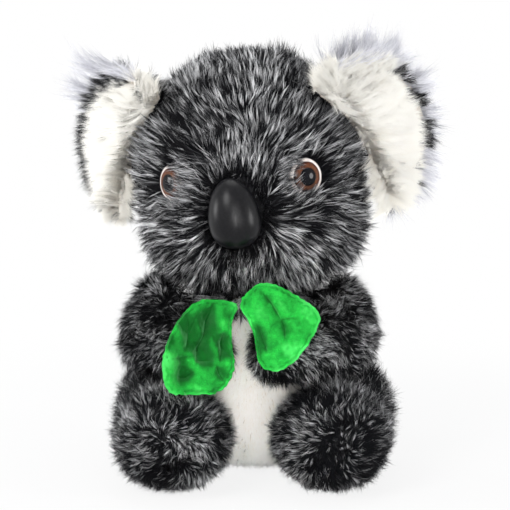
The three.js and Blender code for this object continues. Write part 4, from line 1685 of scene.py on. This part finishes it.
def disc(edge: Array, rings: int, height: Callable[[Array, float], float]) -> bmesh.types.BMesh:
    """A round sheet in the XZ plane, inside an outline.

    Args:
        edge: The outline's X and Z.
        rings: How many rings of faces it has.
        height: Gives the Y of a point, from its place and its share of the way out.

    Returns:
        The mesh, with one pole in its middle.
    """
    around = len(edge)
    bm = bmesh.new()
    bmesh.ops.create_grid(bm, x_segments=around, y_segments=rings, size=1.0)
    for vert in bm.verts:
        side = round((vert.co.x + 1) / 2 * around) % around
        share = round((vert.co.y + 1) / 2 * rings) / rings
        place = edge[side] * share
        vert.co = (place[0], height(place, share), place[1])
    bmesh.ops.remove_doubles(bm, verts=bm.verts, dist=1e-4)
    bmesh.ops.dissolve_degenerate(bm, dist=1e-5, edges=bm.edges)
    return bm


# Body and limbs


@dataclass
class Torso:
    """The body: dark pile, with a white plush panel down the belly."""

    belly_half_width: float = 29.0
    belly_half_height: float = 62.0
    belly_middle: float = 46.0
    sole: float = 3.0
    belly: tuple[float, float] = (1.4, 84.0)
    chest_from: float = 81.0
    neck: tuple[float, float] = (74.0, 84.0)
    shoulders: tuple[float, float] = (78.0, 92.0)
    core: Point = (0.0, 0.0, 50.0)
    belly_reach: float = 2.6

    def hide(self) -> Hide:
        """The skin under the body's fur."""
        nodes = ("base_panel", "body_cover", "body_stuffing", "pellet_bag")
        return Hide("body_hide", "body", nodes, 4.5).build()

    def belly_hide(self) -> Hide:
        """The cloth under the white plush."""
        return Hide(
            "belly_hide", "body", ("belly_panel",), 1.6, voxel=1.6, passes=3, slot=Slot.PLUSH,
            backing=PALE_BACKING,
        ).build()

    def on_belly(self, points: Array) -> Array:
        """Whether points lie on the white panel."""
        wide = points[:, 0] / self.belly_half_width
        tall = (points[:, 2] - self.belly_middle) / self.belly_half_height
        return (wide**2 + tall**2 < 1) & (points[:, 1] < 0)

    def flow(self, points: Array, normals: Array) -> Array:
        """Pile runs down and a little outwards."""
        out = points * (0.012, 0.006, 0.0)
        top = smooth(points[:, 2], *self.shoulders)[:, None]
        return out + (0, 0, -1.0) * (1 - top) + 0.5 * out * top + 0.2 * tousled(41, 9.0, points)

    def coats(self) -> list[Coat]:
        """The dark coat of the body, then the white one of the belly and the dark one over its top.

        Returns:
            The coats, in the order they are grown.
        """
        dark = Coat(
            "body_fur", "body", Slot.DARK_FUR, "dark", 500, 22000, spacing=1.6, width=0.24, gather=0.5,
            spread=0.8, segments=2, tone=0.42, tone_spread=(0.28, 0.16), flow=self.flow,
            tones=lambda p: 0.12 * Ripples(SEED + 6, 8.0)(p),
            lengths=lambda p: 1 + 0.6 * smooth(p[:, 2], *self.neck),
            keep=lambda p, n: ~self.on_belly(p) & (p[:, 2] > self.sole),
        )
        white = Coat(
            "belly_plush", "body", Slot.PLUSH, "plush", 501, 35000, spacing=1.0, length=5.4, uneven=0.06,
            lean=(40.0, 66.0), width=0.34, spread=0.7, gather=0.2, stray=0.5, curl=18.0, segments=2,
            soft=0.85, twist=14.0, tone=0.9, tone_spread=(0.04, 0.06), flow=self.flow,
            lengths=lambda p: 1.6 - 0.6 * smooth(p[:, 2], 3.0, 14.0),
            keep=lambda p, n: self.outside(p, n, 0.2) & between(p[:, 2], *self.belly),
        )
        chest = replace(
            dark, name="chest_fur", seed=502, strands=7000, spacing=1.0, length=7.0, tone=0.5,
            keep=lambda p, n: self.outside(p, n, 0.5) & (p[:, 2] > self.chest_from),
        )
        return [dark, white, chest]

    def outside(self, points: Array, normals: Array, back: float) -> Array:
        """Whether points lie on the outer face of the belly's cloth, and face back by less than a share.

        Args:
            points: Places in millimetres.
            normals: The skin's normals there.
            back: How far back a face may look.

        Returns:
            A mask of the places.
        """
        ways = points - np.array(self.core)
        tree, reach = frame_tree("belly_panel"), self.belly_reach
        hits = (tree.ray_cast(Vector(p), Vector(way).normalized(), reach)[0] for p, way in zip(points, ways))
        over = np.array([hit is not None for hit in hits])
        return over & ((ways * normals).sum(1) > 0) & (normals[:, 1] < back)


LIMB_COAT = Coat(
    "", "", Slot.DARK_FUR, "dark", 0, 38000, spacing=0.9, length=7.6, width=0.17, spread=0.35, gather=0.45,
    stray=0.5, curl=26.0, segments=2, tone=0.29, tone_spread=(0.36, 0.12),
)


@dataclass
class Limb:
    """A leg or an arm: a hide in place of its CAD nodes, with coats on it."""

    side: Side

    def hide_of(self, part: str, *nodes: str) -> Hide:
        """The skin under the limb's fur, from its body's name and its nodes' without the side."""
        word = self.side.word
        names = tuple(f"{word}_{node}" for node in nodes)
        return Hide(f"{word}_{part}_hide", f"{word}_{part}", names, 4.5).build()


@dataclass
class Leg(Limb):
    """A leg: a thigh at the hip and a round foot ahead, whose pile whorls from its tip."""

    whorl: Point
    ankle: float = -46.0
    sole: float = 4.0
    whorl_reach: float = 26.0
    frosted_at: float = -52.0
    frosted_above: tuple[float, float] = (26.0, 46.0)
    # heights of the painted shade towards the floor
    shaded_below: tuple[float, float] = (-18.0, -6.0)

    def hide(self) -> Hide:
        """The skin under the leg's fur."""
        return self.hide_of("leg", "foot_cover", "thigh_cover", "leg_stuffing")

    def flow(self, points: Array, normals: Array) -> Array:
        """Pile runs out from the tip of the foot."""
        away = flat(points - np.array(self.whorl), normals)
        laid = 0.4 + 0.6 * smooth(np.linalg.norm(away, axis=1), 0.0, self.whorl_reach)[:, None]
        aside = np.cross(normals, unit(away)) * self.side.value
        return unit(away) * laid + 0.4 * aside * laid + 0.6 * tousled(51, 6.0, points)

    def tones(self, points: Array) -> Array:
        """Frosted along the top of the foot where the thigh begins, with painted shade towards the floor."""
        seam = bell(points[:, 1] - self.frosted_at, 9.0) * smooth(points[:, 2], *self.frosted_above)
        # painted shade on the lowest part of the leg, near the floor
        low = smooth(-points[:, 2], *self.shaded_below)
        return 0.28 * seam - 0.2 * low + 0.18 * Ripples(SEED + 7 + self.side.value, 9.0)(points) - 0.06

    def coats(self) -> list[Coat]:
        """The coats of the foot and the thigh.

        Returns:
            The coats.
        """
        word, side = self.side.word, self.side.value
        base = replace(LIMB_COAT, body=f"{word}_leg", flow=self.flow, tones=self.tones)
        foot = replace(
            base, name=f"{word}_foot_fur", seed=600 + side,
            keep=lambda p, n: (p[:, 1] < self.ankle) & (p[:, 2] > self.sole),
        )
        thigh = replace(
            base, name=f"{word}_thigh_fur", seed=610 + side, strands=13000,
            keep=lambda p, n: (p[:, 1] >= self.ankle) & (p[:, 2] > self.sole),
        )
        return [foot, thigh]


@dataclass
class Arm(Limb):
    """An arm, bent at the elbow, with its paw at the chest."""

    elbow: tuple[float, float] = (15.0, 50.0)
    shoulder: tuple[float, float] = (84.0, 94.0)
    # where the outer side starts to turn lighter
    lighter_past: tuple[float, float] = (58.0, 72.0)
    forearm: tuple[float, float] = (25.0, 40.0)
    # heights of the painted shade under the forearm
    forearm_shade_below: tuple[float, float] = (-68.0, -56.0)

    def hide(self) -> Hide:
        """The skin under the arm's fur."""
        return self.hide_of("arm", "arm_cover", "arm_stuffing")

    def flow(self, points: Array, normals: Array) -> Array:
        """Pile runs down the upper arm, and out and down on the forearm.

        Args:
            points: Places in millimetres.
            normals: Not used.

        Returns:
            The way that the pile lies at each place, shorter where it stands up.
        """
        ahead = smooth(-points[:, 1], *self.elbow)[:, None]
        upper = np.array((0.45 * self.side.value, 0.0, -1.0))
        fore = np.array((0.55 * self.side.value, -0.2, -0.8))
        top = smooth(points[:, 2], *self.shoulder)[:, None]
        down = (upper * (1 - ahead) + fore * ahead) * (1 - top)
        return down + (0, -0.3, 0.6) * top + 0.55 * tousled(61, 6.0, points)

    def tones(self, points: Array) -> Array:
        """Lighter on the outer side, with painted shade under the forearm."""
        patches = 0.14 * Ripples(SEED + 9, 9.0)(points) - 0.03
        outer = 0.2 * smooth(np.abs(points[:, 0]), *self.lighter_past)
        # painted shade under the forearm, ahead of the elbow
        under = 0.35 * smooth(-points[:, 2], *self.forearm_shade_below) * smooth(-points[:, 1], *self.forearm)
        return patches + outer - under + 0.04 * (1 + self.side.value)

    def coats(self) -> list[Coat]:
        """The coat of the arm."""
        word = self.side.word
        return [replace(
            LIMB_COAT, name=f"{word}_arm_fur", body=f"{word}_arm", seed=700 + self.side.value, tone=0.32,
            flow=self.flow, tones=self.tones,
        )]


# Leaves


@dataclass(frozen=True)
class Crease:
    """A valley across a leaf: its points in the leaf's plane, its depth and its half width."""

    points: tuple[tuple[float, float], ...]
    depth: float
    half_width: float

    def at(self, x: float, z: float, wider: float = 1.0) -> float:
        """How deep the crease is at a place, or how far its shade reaches where it is taken wider.

        Args:
            x: The place across.
            z: The place up.
            wider: How much wider to take it.

        Returns:
            The depth.
        """
        best, along, count = 1e9, 0.0, len(self.points) - 1
        for i, ((ax, az), (bx, bz)) in enumerate(zip(self.points, self.points[1:])):
            dx, dz = bx - ax, bz - az
            t = max(0.0, min(1.0, ((x - ax) * dx + (z - az) * dz) / (dx * dx + dz * dz)))
            far = (x - ax - t * dx) ** 2 + (z - az - t * dz) ** 2
            if far < best:
                best, along = far, (i + t) / count
        fade = 1 - abs(2 * along - 1) ** 3 * 0.9
        return self.depth * fade * math.exp(-math.sqrt(best) / (wider * self.half_width * (0.5 + 0.4 * fade)))


@dataclass
class Leaf:
    """Two layers of green velour, sewn together at the edge and stitched with veins."""

    side: Side
    place: Point
    tilt_back: float
    turn: float
    half_width: float
    half_height: float
    fold: float
    outline: tuple[tuple[float, float], ...]
    creases: tuple[Crease, ...]
    # painted shade laid over the whole leaf
    overall_shade: float = 0.0
    waves: float = 0.8
    layer: float = 2.1
    edge_layer: float = 1.0
    seam_share: float = 0.93
    seam_width: float = 0.03
    seam_depth: float = 0.55
    stitched_in: float = 1.7
    stitch_width: float = 0.35
    # how far in from the edge the painted sheen reaches
    edge_sheen_width: float = 1.2
    wave_size: float = 5.0
    pucker_size: float = 1.3
    pucker_height: float = 0.16
    crease_depth: float = 2.2
    shade_reach: float = 2.2
    rings: int = 56
    around: int = 220
    wrinkle: Ripples = field(init=False)
    pucker: Ripples = field(init=False)

    def __post_init__(self) -> None:
        """Draws the cloth's waves and puckers."""
        self.wrinkle = Ripples(SEED + 80 + self.side.value, self.wave_size)
        self.pucker = Ripples(SEED + 90, self.pucker_size)

    def frame(self) -> Matrix:
        """The leaf's own frame: X across, -Y ahead, Z up the leaf."""
        turn = Matrix.Rotation(math.radians(-self.side.value * self.turn), 4, "Z")
        tilt = Matrix.Rotation(math.radians(-self.tilt_back), 4, "X")
        return Matrix.Translation(self.place) @ turn @ tilt

    def middle(self, x: float, z: float) -> float:
        """The Y of the leaf's middle surface."""
        u, v = self.side.value * x / self.half_width, z / self.half_height
        return self.fold * (math.exp(-((2 * (u + v / 2)) ** 2)) - (u * u + v * v) / 2)

    def puff(self, share: float) -> float:
        """How far a layer stands off the middle surface, at a share of the way to the edge."""
        return self.edge_layer + (self.layer - self.edge_layer) * (1 - share**4)

    def sunk(self, x: float, z: float) -> float:
        """How deep the creases are at a place."""
        return self.crease_depth * sum(crease.at(x, z) for crease in self.creases)

    def edge(self) -> Array:
        """The sewn outline, as X and Z, with its puckers."""
        edge = closed_curve(np.array(self.outline) * (self.half_width, self.half_height), self.around)
        return edge * (1 + 0.008 * self.pucker(np.insert(edge, 1, 0.0, 1))[:, None])

    def bumps(self, x: float, z: float) -> float:
        """The cloth's small puckers at a place, mostly between -2 and 2."""
        return float(self.pucker(np.array([[x, 0.0, z]]))[0])

    def wave(self, x: float, z: float, share: float) -> float:
        """The loose cloth's rise and fall, long down the leaf."""
        own = np.array([[x + 0.35 * z, 0.0, 0.55 * z - 0.2 * x]])
        loose = 1 - smooth(np.array(share), 0.88, 1.0)
        return self.waves * float(self.wrinkle(own)[0]) * float(loose)

    def front(self, place: Array, share: float) -> float:
        """The Y of the front layer, at a place and its share of the way to the edge.

        Args:
            place: X and Z.
            share: The share of the way out.

        Returns:
            The Y.
        """
        x, z = float(place[0]), float(place[1])
        seam = self.seam_depth * math.exp(-(((share - self.seam_share) / self.seam_width) ** 2))
        puckers = self.pucker_height * self.bumps(x, z) * (share < 0.999)
        cloth = self.middle(x, z) - self.puff(share) + self.sunk(x, z)
        return cloth + seam + self.wave(x, z, share) + puckers

    def back(self, place: Array, share: float) -> float:
        """The Y of the back layer."""
        x, z = float(place[0]), float(place[1])
        return self.middle(x, z) + self.puff(share) + self.sunk(x, z)

    def sewn(self, edge: Array) -> bmesh.types.BMesh:
        """The two layers, joined at the edge.

        Args:
            edge: The outline's X and Z.

        Returns:
            The mesh.
        """
        bm, behind = disc(edge, self.rings, self.front), disc(edge, self.rings // 2, self.back)
        relax(bm, [vert for vert in bm.verts if math.hypot(vert.co.x, vert.co.z) < 1.6], 6)
        mesh = bpy.data.meshes.new("leaf_back_layer")
        behind.to_mesh(mesh)
        behind.free()
        bm.from_mesh(mesh)
        bpy.data.meshes.remove(mesh)
        bmesh.ops.bridge_loops(bm, edges=[rim for rim in bm.edges if rim.is_boundary])
        bmesh.ops.recalc_face_normals(bm, faces=bm.faces)
        return bm

    def painted_shade(self, x: float, z: float, edge: Array) -> float:
        """How much painted shade a place takes, from its creases, dents, stitch line and the shade over the
        whole leaf, and below 0 how much painted sheen lies along the puffy edge.

        Args:
            x: The place across.
            z: The place up.
            edge: The outline.

        Returns:
            The share.
        """
        to_edge = float(np.hypot(edge[:, 0] - x, edge[:, 1] - z).min())
        bumps = self.bumps(x, z)
        # painted sheen along the puffy edge, as a negative share
        edge_sheen = (0.35 + 0.12 * bumps) * math.exp(-((to_edge / self.edge_sheen_width) ** 2))
        # painted shade spread wider round the creases
        shade = sum(crease.at(x, z, self.shade_reach) for crease in self.creases)
        seam = math.exp(-(((to_edge - self.stitched_in) / self.stitch_width) ** 2))
        stitched = 0.5 * seam * (bumps > -0.2)
        # painted shade in the creases and in the waves' troughs
        dents = (self.sunk(x, z) + 0.9 * self.wave(x, z, 0.5)) / 3.6
        # the sum adds the painted shade over the whole leaf
        return min(1.0, self.overall_shade + dents + 0.36 * shade + 0.05 * bumps + stitched) - edge_sheen

    def build(self) -> BVHTree:
        """Makes the leaf in place of its two CAD nodes.

        Returns:
            Its tree, for pile to stay under it.
        """
        edge = self.edge()
        bm = self.sewn(edge)
        # the layer holds painted shade, and below 0 a painted edge sheen, for the velour
        layer = bm.verts.layers.float.new(PAINTED_SHADE_LAYER)
        for vert in bm.verts:
            vert[layer] = self.painted_shade(vert.co.x, vert.co.z, edge)
        bmesh.ops.transform(bm, matrix=self.frame(), verts=bm.verts)
        tree = BVHTree.FromBMesh(bm)
        word = self.side.word
        piece = placed(f"{word}_leaf", bm, f"{word}_arm", VelourFinish().material())
        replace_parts(piece, f"{word}_leaf_front", f"{word}_leaf_back")
        return tree


LEAVES = (
    Leaf(
        Side.LEFT, (12.0, -71.05, 84.0), 14.0, 6.0, 19.0, 20.3, 3.0,
        ((-1, 0.4), (-0.86, 0.72), (-0.52, 0.96), (-0.1, 0.92), (0.55, 0.6), (0.9, 0.36), (0.98, 0.06),
         (0.66, -0.5), (0.22, -0.96), (-0.16, -1.08), (-0.5, -0.9), (-0.62, -0.4), (-0.78, 0.04)),
        (
            Crease(((-10.5, 16.3), (-4.9, 10.2), (-0.2, 2.8)), 0.9, 0.7),
            Crease(((-0.2, 2.8), (8.2, 3.2)), 0.5, 0.6),
            Crease(((-0.2, 2.8), (1.7, -1.4), (2.2, -8.0)), 0.6, 0.6),
            Crease(((-5.0, -5.0), (-4.4, -1.0), (-0.2, 2.8)), 0.4, 0.6),
            Crease(((-11.9, 1.4), (-8.6, -7.0), (-5.3, -14.0)), 1.8, 2.8),
        ),
    ),
    Leaf(
        Side.RIGHT, (-27.0, -65.265, 72.0), 12.0, 12.0, 18.5, 22.5, 4.5,
        ((1.04, 0.86), (0.6, 0.98), (0.1, 0.98), (-0.34, 0.74), (-0.76, 0.22), (-0.98, -0.4), (-0.8, -0.92),
         (-0.1, -1), (0.52, -0.94), (0.88, -0.5), (0.86, 0.1), (0.9, 0.52)),
        (
            Crease(((8.4, 20.8), (5.1, 9.0), (-1.0, -6.6)), 2.4, 1.7),
            Crease(((0.0, 16.1), (-3.9, 3.8), (-6.2, -2.3)), 1.5, 2.0),
            Crease(((12.6, 6.7), (11.7, -1.4), (9.8, -7.5)), 2.4, 1.5),
            Crease(((-10.5, -13.6), (-5.8, -14.1), (-2.0, -11.3)), 1.5, 1.5),
            Crease(((-14.3, -5.1), (-1.0, -4.2)), 0.7, 0.7),
            Crease(((8.4, -9.4), (10.8, -16.9)), 1.5, 1.2),
            Crease(((-2.0, -6.6), (7.5, -6.6)), 1.2, 1.4),
        ),
        # painted shade over the whole of this leaf
        overall_shade=0.42,
        waves=1.7,
    ),
)


# Studio


@dataclass(frozen=True)
class Lamp:
    """A round soft lamp, turned to the middle of the toy or to a place on it."""

    name: str
    place: Point
    size: float
    power: float
    aim: Point = MIDDLE
    spread: float = 180.0

    def build(self) -> None:
        """Hangs the lamp."""
        data = bpy.data.lights.new(self.name, "AREA")
        data.shape = "DISK"
        data.size = self.size * MM
        data.energy = self.power
        data.spread = math.radians(self.spread)
        hung(data, Vector(self.place), Vector(self.aim) - Vector(self.place))


def hung(data: bpy.types.ID, place: Vector, ahead: Vector) -> bpy.types.Object:
    """Links a lamp or a camera at a place in millimetres, looking ahead.

    Args:
        data: The lamp or camera.
        place: Where it hangs.
        ahead: Where it looks.

    Returns:
        The object.
    """
    made = bpy.data.objects.new(data.name, data)
    made.location = place * MM
    made.rotation_mode = "QUATERNION"
    made.rotation_quaternion = ahead.to_track_quat("-Z", "Y")
    bpy.context.scene.collection.objects.link(made)
    return made


LAMPS = (
    Lamp("key", (-650, -900, 900), 560, 8.4),
    Lamp("front", (150, -1500, 330), 1000, 8.8),
    Lamp("belly", (0, -1250, 110), 160, 0.037, (0, -40, 42), 10.0),
    Lamp("right ear", (-900, -750, 150), 120, 0.004, (-76, 8, 166), 8.0),
    Lamp("left ear", (650, -1000, 230), 120, 0.006, (66, -10, 172), 8.0),
    Lamp("right", (1250, -450, 260), 380, 5.5),
    Lamp("left", (-1250, -100, 260), 380, 4.8),
    Lamp("top", (0, 200, 1200), 900, 4.0),
)


@dataclass
class Studio:
    """A pale floor, a white surround, soft lamps and the camera."""

    aim: Point = MIDDLE
    elevation: float = 10.0
    distance: float = 1200.0
    lens: float = 169.4
    floor_half_width: float = 6000.0
    shadow: tuple[float, float] = (0.1, 0.35)

    def camera(self) -> None:
        """The camera at the photograph's angle."""
        tilt = math.radians(self.elevation)
        back = Vector((0, -math.cos(tilt), math.sin(tilt)))
        data = bpy.data.cameras.new("camera")
        data.lens = self.lens
        data.sensor_width = 36.0
        bpy.context.scene.camera = hung(data, Vector(self.aim) + back * self.distance, -back)

    def surround(self) -> None:
        """A world that is white to the camera and in gloss, and a soft grey light to the rest."""
        world = bpy.data.worlds.new("surround")
        world.use_nodes = True
        tree = Tree(world.node_tree)
        tree.tree.nodes.clear()
        light = tree.node("ShaderNodeBackground", {}, {"Color": (0.95, 0.97, 1.0), "Strength": 0.45})
        white = tree.node("ShaderNodeBackground", {}, {"Color": (1.0, 1.0, 1.0), "Strength": 1.0})
        inputs = {0: tree.seen(), 1: tree.out(light), 2: tree.out(white)}
        mixed = tree.out(tree.node("ShaderNodeMixShader", {}, inputs))
        tree.node("ShaderNodeOutputWorld", {}, {"Surface": mixed})
        bpy.context.scene.world = world

    def floor(self) -> None:
        """A floor that looks white and keeps the toy's shadow."""
        bm = bmesh.new()
        bmesh.ops.create_grid(bm, x_segments=8, y_segments=8, size=self.floor_half_width * MM)
        mesh = bpy.data.meshes.new("floor")
        bm.to_mesh(mesh)
        bm.free()
        shader = Shader("floor")
        shader.dress(base_color=(0.86, 0.86, 0.86), roughness=0.9, specular_ior_level=0.1)
        glow = shader.node("ShaderNodeEmission", {}, {"Color": (1.0, 1.0, 1.0), "Strength": 1.0})
        length = {"operation": "LENGTH"}
        away = shader.out(shader.node("ShaderNodeVectorMath", length, {0: shader.object_point()}), "Value")
        far = shader.step(away, *self.shadow) * 0.14 + 0.86
        inputs = {0: shader.seen() * far, 1: shader.out(shader.principled), 2: shader.out(glow)}
        mixed = shader.out(shader.node("ShaderNodeMixShader", {}, inputs))
        shader.feed(shader.tree.nodes["Material Output"].inputs["Surface"], mixed)
        mesh.materials.append(shader.material)
        made = bpy.data.objects.new("floor", mesh)
        bpy.context.scene.collection.objects.link(made)

    def build(self) -> None:
        """Sets up the whole studio."""
        self.camera()
        self.surround()
        self.floor()
        for lamp in LAMPS:
            lamp.build()
        bpy.context.scene.view_settings.view_transform = "Standard"


def main() -> None:
    """Builds the toy and the studio."""
    logging.basicConfig(level=logging.INFO, format="%(name)s %(message)s")
    Studio().build()
    head, torso = Head(), Torso()
    legs = [Leg(Side.LEFT, (38.0, -92.0, 30.0)), Leg(Side.RIGHT, (-37.0, -92.0, 30.0))]
    arms = [Arm(side) for side in Side]
    head_hide, torso_hide, belly_hide = head.hide(), torso.hide(), torso.belly_hide()
    limb_hides = [limb.hide() for limb in (*legs, *arms)]
    for hide in (head_hide, torso_hide, belly_hide, *limb_hides):
        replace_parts(hide.piece, *hide.nodes)
    furrier = Furrier([head_hide, torso_hide, *limb_hides], [leaf.build() for leaf in LEAVES])
    for coat in head.coats():
        furrier.grow(head_hide, coat)
    for hide, coat in zip((torso_hide, belly_hide, belly_hide), torso.coats()):
        furrier.grow(hide, coat, under_leaves=True)
    for limb, hide in zip((*legs, *arms), limb_hides):
        for coat in limb.coats():
            furrier.grow(hide, coat, under_leaves=isinstance(limb, Arm))
    for ear in EARS:
        ear.build(head_hide)
    for eye in EYES:
        eye.build()
    head.nose.build()


if __name__ == "__main__":
    main()
